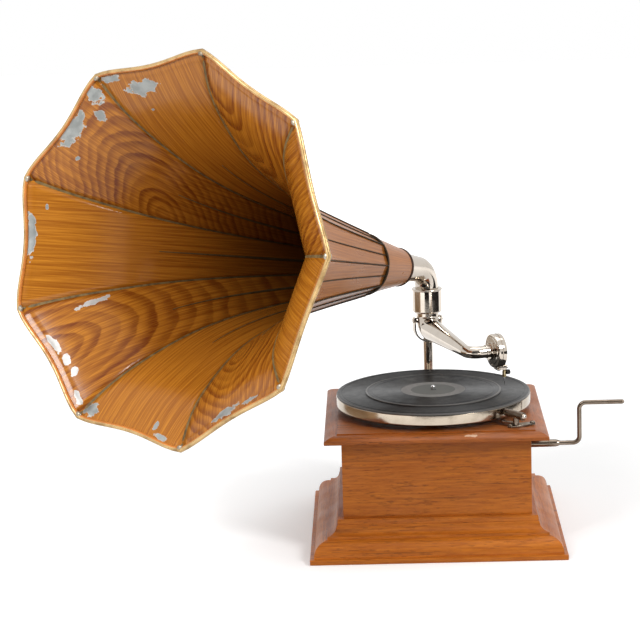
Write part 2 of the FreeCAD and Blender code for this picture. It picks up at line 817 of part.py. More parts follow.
def soundbox_case():
    """Shallow cup with a boss behind for the end pipe and a rim round the diaphragm."""
    bore = pipe_radius + running_fit
    inside = soundbox_radius - soundbox_wall
    edge = soundbox_edge
    seat = inside - diaphragm_seat
    floor = soundbox_wall + edge
    outline = [(bore, -soundbox_boss), (soundbox_boss_radius, -soundbox_boss), (soundbox_boss_radius, 0),
               (soundbox_radius - edge, 0), (soundbox_radius, edge), (soundbox_radius, soundbox_depth - edge),
               (soundbox_radius - edge, soundbox_depth), (inside - edge, soundbox_depth),
               (inside, soundbox_depth - 2 * edge), (inside, diaphragm_depth), (seat, diaphragm_depth),
               (seat, floor), (bore, floor)]
    return turned(outline, axis=Vector(1, 0, 0))


def diaphragm():
    """Thin disc on its seat in the case."""
    radius = soundbox_radius - soundbox_wall - seat_fit
    return rod(radius, Vector(diaphragm_depth, 0, 0), Vector(diaphragm_depth + diaphragm_thickness, 0, 0))


def stylus():
    """Bar from the middle of the diaphragm to the chuck that holds the needle."""
    front = diaphragm_depth + diaphragm_thickness
    half = stylus_bar / 2
    foot = rod(half, Vector(front, 0, 0), Vector(stylus_reach - half, 0, 0))
    bar = block(stylus_reach - half, stylus_reach + half, -half, half, -chuck_drop, half)
    shoe_foot = soundbox_edge - soundbox_radius
    shoe = block(soundbox_depth, stylus_reach, -shoe_width / 2, shoe_width / 2, shoe_foot,
                 shoe_foot + shoe_height)
    chuck_foot = -chuck_drop - chuck_length
    chuck = cylinder(chuck_radius, chuck_foot, -chuck_drop, stylus_reach)
    body = foot.fuse([bar, shoe, chuck]).removeSplitter()
    bore = cylinder(needle_radius + seat_fit, chuck_foot, -chuck_drop - chuck_cap, stylus_reach)
    hole = rod(screw_stem_radius + running_fit, Vector(stylus_reach, 0, needle_screw_level),
               Vector(stylus_reach + 2 * chuck_radius, 0, needle_screw_level))
    return body.cut(bore).cut(hole)


def needle():
    """Steel needle with a ground point."""
    tip = needle_tip_z - soundbox_z
    top = -chuck_drop - chuck_cap
    point = 4 * needle_radius
    return turned([(0, tip), (needle_radius, tip + point), (needle_radius, top), (0, top)],
                  Vector(stylus_reach, 0, 0))


def needle_screw():
    """Thumbscrew that holds the needle in the chuck."""
    level = needle_screw_level
    stem_start = stylus_reach + needle_radius + air_gap
    head_start = stylus_reach + chuck_radius + air_gap
    head_foot = Vector(head_start, 0, level)
    stem = rod(screw_stem_radius, Vector(stem_start, 0, level), head_foot)
    head = rod(screw_head_radius, head_foot, head_foot + Vector(screw_head_length, 0, 0))
    return stem.fuse(head).removeSplitter()


# Turntable


def platter():
    """Turned platter: thin top, plated rim and a hub on the spindle."""
    top = platter_top_z
    inner = platter_radius - platter_wall
    hub_low = panel_z + platter_hub_gap
    outline = [(spindle_radius + seat_fit, hub_low), (platter_hub_radius, hub_low),
               (platter_hub_radius, top - platter_wall), (inner, top - platter_wall), (inner, rim_z),
               (platter_radius - platter_edge, rim_z), (platter_radius, rim_z + platter_edge),
               (platter_radius, top), (spindle_radius + seat_fit, top)]
    return turned(outline)


def disc(radius, z0, z1):
    """Flat disc round the spindle."""
    return cylinder(radius, z0, z1).cut(cylinder(spindle_radius + seat_fit, z0, z1))


def spindle():
    """Spindle from the motor's bottom plate through the record, with its pinion."""
    tip = record_top_z + spindle_tip
    foot = bottom_plate_z - spindle_foot
    stem = turned([(0, foot), (spindle_radius, foot), (spindle_radius, tip - spindle_radius),
                   (spindle_nose_radius, tip - spindle_nose), (0, tip)])
    phase = math.degrees(math.atan2(middle_place.y, middle_place.x)) + 180.0 / pinion_teeth
    pinion = spur_gear(pinion_teeth, middle_module, 0, phase)
    return stem.fuse(moved(pinion, Vector(0, 0, middle_wheel_z))).removeSplitter()


# Gears


def involute_half_angle(radius, teeth, module):
    """Half the angle that a tooth fills at a radius, with backlash taken off."""
    pressure = math.radians(pressure_angle)
    pitch = module * teeth / 2
    base = pitch * math.cos(pressure)
    at_pitch = math.pi / (2 * teeth) - backlash / (2 * pitch)
    angle = math.acos(min(1.0, base / max(radius, base)))
    return at_pitch + math.tan(pressure) - pressure - (math.tan(angle) - angle)


def gear_outline(teeth, module, phase):
    """Points round a spur gear: root, pitch and tip on both flanks of each tooth."""
    pitch = module * teeth / 2
    radii = (pitch - dedendum * module, pitch - flank_foot * module, pitch + addendum * module)
    points = []
    for k in range(teeth):
        middle = math.radians(phase) + 2 * math.pi * k / teeth
        flank = [(r, involute_half_angle(r, teeth, module)) for r in radii]
        tooth = [(r, -a) for r, a in flank] + [(r, a) for r, a in reversed(flank)]
        points += [Vector(r * math.cos(middle + a), r * math.sin(middle + a), 0) for r, a in tooth]
    return points


def spur_gear(teeth, module, bore, phase):
    """Flat gear from Z 0 up to the wheel thickness."""
    gear = outline_face(gear_outline(teeth, module, phase)).extrude(Vector(0, 0, wheel_thickness))
    return gear.cut(cylinder(bore, 0, wheel_thickness)) if bore else gear


def bevel_gear(teeth, mate_teeth, module, face, phase):
    """Straight bevel teeth closing on an apex at the origin, for a shaft at right angles, below Z 0."""
    pitch = module * teeth / 2
    depth = module * mate_teeth / 2
    cone = math.hypot(pitch, depth)
    angle = math.atan2(pitch, depth)
    tip = depth * math.tan(angle + addendum * module / cone)
    root = depth * math.tan(angle - dedendum * module / cone)
    ring = []
    for k in range(teeth):
        middle = math.radians(phase) + 2 * math.pi * k / teeth
        half = math.pi / (2 * teeth) - backlash / (2 * pitch)
        wide = winding_tooth_root * half
        narrow = winding_tooth_tip * half
        for r, a in ((root, -wide), (tip, -narrow), (tip, narrow), (root, wide)):
            ring.append(Vector(r * math.cos(middle + a), r * math.sin(middle + a), -depth))
    scale = 1 - face / cone
    outer = Part.makePolygon(ring + [ring[0]])
    inner = Part.makePolygon([p * scale for p in ring + [ring[0]]])
    return Part.makeLoft([outer, inner], True, True)


# Motor


def plate_reach():
    """Left edge, right edge and half depth of the motor's plates."""
    left = governor_x - governor_disc_radius - plate_margin
    right = barrel_x + barrel_gear_radius + plate_margin
    return left, right, governor_length / 2 + 2 * plate_margin


def motor_plate(z0):
    """Flat plate bored for the spindle and the two arbors."""
    x0, x1, y = plate_reach()
    plate = block(x0, x1, -y, y, z0, z0 + plate_thickness)
    z1 = z0 + plate_thickness
    bearings = [cylinder(spindle_radius + running_fit, z0, z1),
                cylinder(arbor_radius + running_fit, z0, z1, barrel_x),
                cylinder(arbor_radius + running_fit, z0, z1, middle_place.x, middle_place.y)]
    return plate.cut(Part.makeCompound(bearings))


def corner_places():
    """Centres of the motor's four pillars."""
    inset = pillar_radius + pillar_edge
    x0, x1, y = plate_reach()
    return [(x, side * (y - inset)) for x in (x0 + inset, x1 - inset) for side in (-1, 1)]


def bottom_plate():
    """Lower plate with two lugs turned up as the governor's bearings."""
    plate = motor_plate(bottom_plate_z - plate_thickness)
    lugs = []
    for side in (-1, 1):
        y = side * governor_length / 2
        lugs.append(block(governor_x - lug_reach, governor_x + lug_reach, y - lug_thickness / 2,
                          y + lug_thickness / 2, bottom_plate_z, governor_z + lug_reach))
    bearing = rod(governor_shaft_radius + running_fit, Vector(governor_x, -governor_length, governor_z),
                  Vector(governor_x, governor_length, governor_z))
    return plate.fuse(lugs).removeSplitter().cut(bearing)


def pillars(z0, z1):
    """Four round spacers at the plates' corners."""
    return Part.makeCompound([cylinder(pillar_radius, z0, z1, x, y) for x, y in corner_places()])


def spring_barrel():
    """Drum with a toothed rim at its foot, closed by its own lid."""
    z1 = barrel_top_z
    inside = barrel_radius - barrel_wall
    bore = arbor_radius + running_fit
    drum = turned([(bore, barrel_z), (barrel_radius, barrel_z), (barrel_radius, z1), (bore, z1),
                   (bore, z1 - barrel_wall), (inside, z1 - barrel_wall), (inside, barrel_z + barrel_wall),
                   (bore, barrel_z + barrel_wall)])
    heading = math.degrees(math.atan2(middle_place.y, middle_place.x - barrel_x))
    rim = spur_gear(barrel_teeth, barrel_module, barrel_radius - barrel_wall / 2, heading)
    rim.translate(Vector(0, 0, barrel_z))
    return moved(drum.fuse(rim).removeSplitter(), Vector(barrel_x, 0, 0))


def mainspring():
    """Flat spring wound in half circles of growing radius inside the drum."""
    low = barrel_z + barrel_wall + air_gap
    high = barrel_top_z - barrel_wall - air_gap
    first = arbor_radius + 3 * mainspring_strip
    last = barrel_radius - barrel_wall - air_gap - mainspring_strip
    step = (last - first) / (2 * mainspring_turns)
    edges = []
    ends = []
    for offset in (-mainspring_strip / 2, mainspring_strip / 2):
        for k in range(2 * mainspring_turns):
            radius = first + k * step + offset
            centre = step / 2 if k % 2 else -step / 2
            side = -1 if k % 2 else 1
            a = Vector(centre + side * radius, 0, low)
            b = Vector(centre, side * radius, low)
            c = Vector(centre - side * radius, 0, low)
            edges.append(Part.Arc(a, b, c).toShape())
            if k in (0, 2 * mainspring_turns - 1):
                ends.append(a if k == 0 else c)
    edges += [line(ends[0], ends[2]), line(ends[1], ends[3])]
    strip = edge_loop_face(edges).extrude(Vector(0, 0, high - low))
    return moved(strip, Vector(barrel_x, 0, 0))


def barrel_arbor():
    """Arbor that winds the spring, between the motor plates."""
    return cylinder(arbor_radius, bottom_plate_z - plate_thickness, top_plate_z + plate_thickness, barrel_x)


def winding_gear():
    """Bevel gear keyed on the barrel arbor."""
    teeth = bevel_gear(winding_teeth, winding_pinion_teeth, winding_module, winding_face, 0)
    hub = cylinder(winding_hub_radius, -winding_pinion_radius - winding_hub, -winding_pinion_radius)
    gear = teeth.fuse(hub).removeSplitter()
    gear = gear.cut(cylinder(arbor_radius + seat_fit, -winding_gear_radius, winding_gear_radius))
    return moved(gear, Vector(barrel_x, 0, crank_z))


def winding_shaft():
    """Level shaft from the bevel pinion out through the case to the crank."""
    phase = 180.0 / winding_pinion_teeth
    pinion = bevel_gear(winding_pinion_teeth, winding_teeth, winding_module, winding_face, phase)
    pinion.rotate(Vector(0, 0, 0), Vector(0, 1, 0), -90)
    pinion.translate(Vector(barrel_x, 0, crank_z))
    start = Vector(barrel_x + winding_gear_radius - winding_face / 2, 0, crank_z)
    shaft = rod(winding_shaft_radius, start, Vector(winding_shaft_end, 0, crank_z))
    return shaft.fuse(pinion).removeSplitter()


def crank_bush():
    """Flanged bush in the case's right side."""
    inside = case_half - case_wall
    outside = case_half + crank_bush_lip
    bore = winding_shaft_radius + running_fit
    outline = [(bore, inside), (crank_bush_radius, inside), (crank_bush_radius, case_half),
               (crank_bush_flange, case_half), (crank_bush_flange, outside), (bore, outside)]
    return turned(outline, Vector(0, 0, crank_z), Vector(1, 0, 0))


def middle_arbor():
    """Arbor with the pinion that the barrel drives."""
    stem = cylinder(arbor_radius, bottom_plate_z - plate_thickness, top_plate_z + plate_thickness)
    heading = math.degrees(math.atan2(middle_place.y, middle_place.x - barrel_x))
    pinion = spur_gear(pinion_teeth, barrel_module, 0, heading + 180 + 180.0 / pinion_teeth)
    return moved(stem.fuse(moved(pinion, Vector(0, 0, barrel_z))).removeSplitter(), middle_place)


def middle_wheel():
    """Wheel on the middle arbor that drives the spindle's pinion."""
    heading = math.degrees(math.atan2(-middle_place.y, -middle_place.x))
    wheel = spur_gear(middle_wheel_teeth, middle_module, arbor_radius + seat_fit, heading)
    return moved(wheel, middle_place + Vector(0, 0, middle_wheel_z))


def drive_wheel():
    """Wheel on the spindle whose slanting teeth run on the governor's worm."""
    step = 2 * math.pi / drive_teeth
    wide = drive_tooth_root * step
    narrow = drive_tooth_tip * step
    tip = drive_radius + drive_tooth
    rings = []
    for level, slant in ((-wheel_thickness, -step / 2), (wheel_thickness, step / 2)):
        ring = []
        for k in range(drive_teeth):
            middle = k * step + slant
            for r, a in ((drive_radius, -wide), (tip, -narrow), (tip, narrow), (drive_radius, wide)):
                ring.append(Vector(r * math.cos(middle + a), r * math.sin(middle + a), governor_z + level))
        rings.append(Part.makePolygon(ring + [ring[0]]))
    wheel = Part.makeLoft(rings, True, True)
    bore = cylinder(spindle_radius + seat_fit, governor_z - wheel_thickness, governor_z + wheel_thickness)
    return wheel.cut(bore)


def along_governor(radius, y0, y1):
    """Cylinder on the governor's axis."""
    return rod(radius, Vector(governor_x, y0, governor_z), Vector(governor_x, y1, governor_z))


def governor_shaft():
    """Level shaft with the worm, between the bottom plate's lugs."""
    half = governor_length / 2
    return along_governor(governor_shaft_radius, -half - lug_thickness / 2, half + lug_thickness / 2).fuse(
        along_governor(worm_radius, -worm_length / 2, worm_length / 2)).removeSplitter()


def governor_span():
    """Start and end of the weights' springs along the shaft, between worm and lug."""
    return worm_length / 2 + governor_worm_gap, governor_length / 2 - lug_thickness / 2 - governor_lug_gap


def governor_head():
    """Two collars, three weights on flat springs bowed out between them, and the friction disc."""
    y0, y1 = governor_span()
    disc_y = y1 - governor_disc_thickness
    wide = governor_collar_radius
    bore = along_governor(governor_shaft_radius + seat_fit, y0 - cut_margin, y1 + cut_margin)
    collars = [along_governor(wide, y0, y0 + governor_collar_length).cut(bore),
               along_governor(wide, disc_y - governor_collar_length, disc_y).cut(bore)]
    low = Vector(0, y0, wide)
    high = Vector(0, disc_y, wide)
    middle = (low + high) * 0.5 + Vector(0, 0, governor_swing - wide)
    lift = Vector(0, 0, governor_spring)
    under = Part.Arc(low, middle, high).toShape()
    over = Part.Arc(low + lift, middle + lift, high + lift).toShape()
    edges = [under, over, line(low, low + lift), line(high, high + lift)]
    spring = edge_loop_face(edges).extrude(Vector(governor_spring_width, 0, 0))
    spring.translate(Vector(-governor_spring_width / 2, 0, 0))
    half = Vector(0, governor_weight_length / 2, 0)
    weight = rod(governor_weight_radius, middle + lift - half, middle + lift + half)
    weight = weight.cut(block(-governor_weight_radius, governor_weight_radius, y0, y1, 0, middle.z + lift.z))
    pieces = []
    step = 360.0 / governor_weights
    for k in range(governor_weights):
        for piece in (spring, weight):
            copy = piece.copy()
            copy.rotate(Vector(0, 0, 0), Vector(0, 1, 0), (k + 0.5) * step)
            copy.translate(Vector(governor_x, 0, governor_z))
            pieces.append(copy)
    friction_disc = along_governor(governor_disc_radius, disc_y, y1).cut(bore)
    return Part.makeCompound(collars + pieces + [friction_disc])


def pad_arm():
    """Arm on the bottom plate with the pad that bears on the governor's disc."""
    face = governor_span()[1] - governor_disc_thickness - air_gap
    x0 = governor_x - governor_disc_radius
    half = pad_arm_width / 2
    back = face - pad_length
    upright = block(x0 - half, x0 + half, back - pad_arm_thickness, back, bottom_plate_z, governor_z + half)
    pad = rod(half, Vector(x0, back, governor_z), Vector(x0, face, governor_z))
    return upright.fuse(pad).removeSplitter()


def crank():
    """Bent rod with a sleeve that screws on the winding shaft."""
    start = case_half + crank_bush_lip + air_gap
    sleeve_end = case_half + crank_sleeve
    arm_x = case_half + crank_reach
    sleeve = rod(crank_sleeve_radius, Vector(start, 0, crank_z),
                 Vector(sleeve_end - crank_taper, 0, crank_z))
    taper = Part.makeCone(crank_sleeve_radius, crank_rod_radius, crank_taper,
                          Vector(sleeve_end - crank_taper, 0, crank_z), Vector(1, 0, 0))
    socket = rod(winding_shaft_radius + seat_fit, Vector(0, 0, crank_z),
                 Vector(winding_shaft_end, 0, crank_z))
    out = Vector(1, 0, 0)
    up = Vector(0, 0, 1)
    low_corner = Vector(arm_x, 0, crank_z)
    high_corner = Vector(arm_x, 0, crank_z + crank_throw)
    low_start, low_end, low_bend = bent_rod(low_corner, out, up, crank_bend, crank_rod_radius)
    high_start, high_end, high_bend = bent_rod(high_corner, up, out, crank_bend, crank_rod_radius)
    straight = rod(crank_rod_radius, Vector(sleeve_end, 0, crank_z), low_start)
    arm = rod(crank_rod_radius, low_end, high_start)
    grip_end = Vector(arm_x + crank_grip - crank_rod_radius, 0, high_corner.z)
    grip = rod(crank_rod_radius, high_end, grip_end)
    tip = Part.makeSphere(crank_rod_radius, grip_end)
    return sleeve.fuse([taper, straight, low_bend, arm, high_bend, grip, tip]).removeSplitter().cut(socket)


# Brake


def brake_base():
    """Boat-shaped plate on the motor board with the riveted post."""
    half = brake_base_length / 2
    wide = brake_base_width / 2
    tip = brake_screw_head + brake_base_rim
    edges = []
    for side in (-1, 1):
        edges.append(Part.Arc(Vector(-half, side * tip, 0), Vector(0, side * wide, 0),
                              Vector(half, side * tip, 0)).toShape())
        edges.append(Part.Arc(Vector(side * half, -tip, 0), Vector(side * (half + tip), 0, 0),
                              Vector(side * half, tip, 0)).toShape())
    plate = edge_loop_face(edges).extrude(Vector(0, 0, brake_base_thickness))
    plate = spun(plate, brake_base_turn)
    plate.translate(brake_base_centre + Vector(0, 0, panel_z))
    stem_top = brake_tube_z - brake_tube_radius
    stem = cylinder(brake_post_radius, panel_z, stem_top, brake_centre.x, brake_centre.y)
    return plate.fuse(stem).removeSplitter()


def brake_screw_places():
    """The base plate's two screws."""
    along = level_direction(brake_base_turn) * (brake_base_length / 2)
    level = Vector(0, 0, panel_z + brake_base_thickness)
    return [brake_base_centre - along + level, brake_base_centre + along + level]


def brake_reach():
    """Distance from the post to the pad's face, just clear of the platter's rim."""
    along = -brake_centre.dot(brake_dir)
    off = brake_centre.Length**2 - along**2
    limit = platter_radius + air_gap
    return along - math.sqrt(limit**2 - off)


def brake_lever():
    """Lever on the post: finger piece below, open tube above that holds the pad."""
    low = panel_z + brake_base_thickness + air_gap
    level = Vector(0, 0, brake_tube_z)
    nose = brake_centre + brake_dir * (brake_reach() - brake_pad_length + brake_pad_grip) + level
    tail = brake_centre - brake_dir * brake_tube_tail + level
    tube = rod(brake_tube_radius, tail, nose)
    finger = block(-brake_lever_width / 2, brake_finger, -brake_lever_width / 2, brake_lever_width / 2, 0,
                   brake_lever_thickness)
    tab = cylinder(brake_lever_width / 2, 0, brake_lever_thickness + brake_finger_lip, brake_finger)
    finger = spun(finger.fuse(tab), brake_finger_turn)
    finger.translate(brake_centre + Vector(0, 0, low))
    sleeve = cylinder(2 * brake_post_radius, low, brake_tube_z, brake_centre.x, brake_centre.y)
    body = tube.fuse([finger, sleeve]).removeSplitter()
    bore = rod(brake_tube_radius - brake_tube_wall, tail + brake_dir * brake_tube_end, nose)
    hole = cylinder(brake_post_radius + running_fit, low, brake_tube_z - brake_tube_radius + air_gap,
                    brake_centre.x, brake_centre.y)
    return body.cut(bore).cut(hole)


def brake_pad():
    """Leather plug in the tube's end, hollowed to the rim."""
    level = Vector(0, 0, brake_tube_z)
    reach = brake_reach()
    plug = rod(brake_tube_radius - brake_tube_wall - seat_fit,
               brake_centre + brake_dir * (reach - brake_pad_length) + level,
               brake_centre + brake_dir * (reach + cut_margin) + level)
    return plug.cut(cylinder(platter_radius + air_gap, panel_z, mat_top_z))


def wood_screws():
    """Dome-headed screws of the bracket's foot and the brake's base."""
    screws = []
    for place in bracket_screw_places():
        screws.append(dome(bracket_screw_head, place, Vector(0, 1, 0)))
    for place in brake_screw_places():
        screws.append(dome(brake_screw_head, place, Vector(0, 0, 1)))
    return Part.makeCompound(screws)


def dome(radius, place, out):
    """Low dome of a screw head standing on a face."""
    height = dome_share * radius
    ball = (radius**2 + height**2) / (2 * height)
    sphere = Part.makeSphere(ball, Vector(0, 0, height - ball))
    head = sphere.common(cylinder(2 * ball, 0, 2 * ball))
    head.Placement = Placement(place, Rotation(Vector(0, 0, 1), out))
    return head


def horn_nodes():
    """Every piece of the horn, made once about its axis and turned round it."""
    step = 360.0 / panel_count
    middle = panel_turn + step / 2
    bead = rim_bead_solid(seat_fit / 2)
    whole_bead = rim_bead_solid(0)
    panel = horn_panel(whole_bead)
    fold = mid_rib()
    rib = seam_rib(whole_bead)
    turns = [middle + k * step for k in range(panel_count)]
    nodes = {}
    for k, turn in enumerate(turns):
        nodes[f"horn_panel_{k + 1}"] = on_horn(panel, turn)
    nodes["horn_rim_beads"] = Part.makeCompound([on_horn(bead, turn) for turn in turns])
    nodes["horn_mid_ribs"] = Part.makeCompound([on_horn(fold, turn) for turn in turns])
    nodes["horn_seam_ribs"] = Part.makeCompound([on_horn(rib, turn + step / 2) for turn in turns])
    nodes["horn_neck_ring"] = on_horn(neck_ring())
    nodes["horn_throat_cone"] = on_horn(throat_cone())
    nodes["horn_throat_bush"] = on_horn(throat_bush())
    return nodes


def all_nodes():
    """Every node of the gramophone by name."""
    nodes = {
        "base_board": block(-base_half, base_half, -base_half, base_half, 0, base_board_height),
        "base_mouldings": base_mouldings(),
        "case_front": case_board(True),
        "case_back": spun(case_board(True), 180),
        "case_left": spun(case_board(False), -90),
        "case_right": case_right(),
        "top_mouldings": top_mouldings(),
        "motor_board": motor_board(),
        "back_bracket": bracket(),
        "tonearm_post": post(),
        "horn_collar": collar(),
        "horn_elbow": elbow(),
        "wood_screws": wood_screws(),
        "tonearm_yoke": yoke(),
        "yoke_screws": yoke_screws(),
        "tonearm": tonearm(),
        "soundbox_case": at_soundbox(soundbox_case()),
        "diaphragm": at_soundbox(diaphragm()),
        "stylus_bar": at_soundbox(stylus()),
        "needle": at_soundbox(needle()),
        "needle_screw": at_soundbox(needle_screw()),
        "platter": platter(),
        "platter_mat": disc(platter_radius, platter_top_z, mat_top_z),
        "record": disc(record_radius, mat_top_z, record_top_z),
        "spindle": spindle(),
        "governor_drive_wheel": drive_wheel(),
        "motor_top_plate": motor_plate(top_plate_z),
        "motor_bottom_plate": bottom_plate(),
        "motor_pillars": pillars(bottom_plate_z, top_plate_z),
        "motor_hangers": pillars(top_plate_z + plate_thickness, case_top_z),
        "spring_barrel": spring_barrel(),
        "mainspring": mainspring(),
        "barrel_arbor": barrel_arbor(),
        "winding_gear": winding_gear(),
        "winding_shaft": winding_shaft(),
        "crank_bush": crank_bush(),
        "middle_arbor": middle_arbor(),
        "middle_wheel": middle_wheel(),
        "governor_shaft": governor_shaft(),
        "governor_head": governor_head(),
        "governor_pad_arm": pad_arm(),
        "crank": crank(),
        "brake_base": brake_base(),
        "brake_lever": brake_lever(),
        "brake_pad": brake_pad(),
    }
    nodes.update(horn_nodes())
    return nodes


def main():
    """Writes one STEP file for each node."""
    os.makedirs("parts", exist_ok=True)
    for name, shape in all_nodes().items():
        if not shape.isValid() or not shape.Solids:
            print("check", name, shape.ShapeType, len(shape.Solids), shape.isValid())
        shape.exportStep(os.path.join("parts", name + ".step"))


main()
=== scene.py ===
"""Looks of a table-top horn gramophone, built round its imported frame. Lengths are in metres."""
import json
import logging
import math
from collections.abc import Callable, Sequence
from dataclasses import dataclass, field, replace
from enum import Enum
from typing import ClassVar

import bmesh
import bpy
import numpy as np
from mathutils import Matrix, Vector


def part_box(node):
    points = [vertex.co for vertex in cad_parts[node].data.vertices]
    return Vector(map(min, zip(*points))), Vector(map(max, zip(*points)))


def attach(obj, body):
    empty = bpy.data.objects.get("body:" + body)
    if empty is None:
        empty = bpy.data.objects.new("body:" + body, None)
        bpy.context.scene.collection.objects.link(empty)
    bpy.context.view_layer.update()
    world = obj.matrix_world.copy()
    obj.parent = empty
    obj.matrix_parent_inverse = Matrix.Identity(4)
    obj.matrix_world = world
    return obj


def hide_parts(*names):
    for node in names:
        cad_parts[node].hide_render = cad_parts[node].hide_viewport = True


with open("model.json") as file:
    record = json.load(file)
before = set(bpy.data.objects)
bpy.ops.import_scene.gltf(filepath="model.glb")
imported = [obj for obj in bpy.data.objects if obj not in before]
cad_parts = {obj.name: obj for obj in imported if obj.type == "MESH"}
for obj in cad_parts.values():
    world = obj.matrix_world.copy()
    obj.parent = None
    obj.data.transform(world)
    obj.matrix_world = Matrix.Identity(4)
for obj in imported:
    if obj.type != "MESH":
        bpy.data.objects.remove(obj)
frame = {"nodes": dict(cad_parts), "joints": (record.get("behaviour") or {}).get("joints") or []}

log = logging.getLogger("gramophone")

MM = 0.001
ON_AXIS = 1e-9
NEAR_X = 0.9
SAME_POINT = 0.002 * MM
SAME_TURN = 0.001 * MM
SAME_PLANE = math.radians(0.6)
NODES: dict[str, bpy.types.Object] = frame["nodes"]
JOINTS: dict[str, dict] = {joint["name"]: joint for joint in frame["joints"]}
X, Y, Z = Vector((1, 0, 0)), Vector((0, 1, 0)), Vector((0, 0, 1))
HOME = Matrix.Identity(4)
VECTOR, VALUE = "NodeSocketVector", "NodeSocketFloat"

Colour = tuple[float, float, float]
Shade = tuple[int, int, int]
Point = tuple[float, float]
Socket = bpy.types.NodeSocket
Outputs = bpy.types.NodeOutputs


def joint_place(name: str) -> Vector:
    """Where a joint of the frame stands."""
    return Vector(JOINTS[name]["pos_m"])


def joint_axis(name: str) -> Vector:
    """Direction of a joint of the frame."""
    return Vector(JOINTS[name]["axis"]).normalized()


def under(name: str) -> Vector:
    """Point of the floor below a joint of the frame."""
    return joint_place(name) * Vector((1, 1, 0))


def levels(node: str) -> tuple[float, float]:
    """Lowest and highest level of a frame node."""
    low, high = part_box(node)
    return low.z, high.z


def facing(place: Vector, axis: Vector, side: Vector | None = None) -> Matrix:
    """Frame with its Z along an axis.

    Args:
        place: The frame's origin.
        axis: Direction of its Z.
        side: Direction that its X leans to.

    Returns:
        The frame as a matrix.
    """
    z = axis.normalized()
    lean = side if side is not None else (X if abs(z.x) < NEAR_X else Y)
    y = z.cross(lean).normalized()
    return Matrix.Translation(place) @ Matrix((y.cross(z), y, z)).transposed().to_4x4()


def linear(shade: Shade) -> tuple[float, ...]:
    """Screen colour, 0 to 255, as the linear colour that shaders use."""
    shares = (value / 255 for value in shade)
    return *(share / 12.92 if share <= 0.04045 else ((share + 0.055) / 1.055) ** 2.4 for share in shares), 1.0


def oval(centre: Point, wide: float, high: float, start: float, end: float, count: int) -> list[Point]:
    """Points on an arc of an oval.

    Args:
        centre: The oval's middle.
        wide: Half its width.
        high: Half its height.
        start: First angle in degrees.
        end: Last angle in degrees.
        count: Number of points.

    Returns:
        The points in order.
    """
    turns = np.radians(np.linspace(start, end, count))
    return [(centre[0] + wide * math.cos(turn), centre[1] + high * math.sin(turn)) for turn in turns]


def bowed(start: Point, end: Point, bow: float, count: int) -> list[Point]:
    """Points on a bowed line between two points of an outline.

    Args:
        start: First point.
        end: Last point.
        bow: How far the line's middle stands to the left of the chord.
        count: Number of stretches.

    Returns:
        The points after the first.
    """
    chord = Vector(end) - Vector(start)
    left = Vector((-chord.y, chord.x)).normalized()
    shares = (k / count for k in range(1, count + 1))
    return [tuple(Vector(start) + chord * share + left * 4 * bow * share * (1 - share)) for share in shares]


def add_object(name: str, data: bpy.types.ID, place: Matrix = HOME) -> bpy.types.Object:
    """Puts a new object in the scene."""
    made = bpy.data.objects.new(name, data)
    made.matrix_world = place
    bpy.context.scene.collection.objects.link(made)
    return made


def new_verts(geometry: Sequence) -> list[bmesh.types.BMVert]:
    """Vertices among an operator's results."""
    return [item for item in geometry if isinstance(item, bmesh.types.BMVert)]


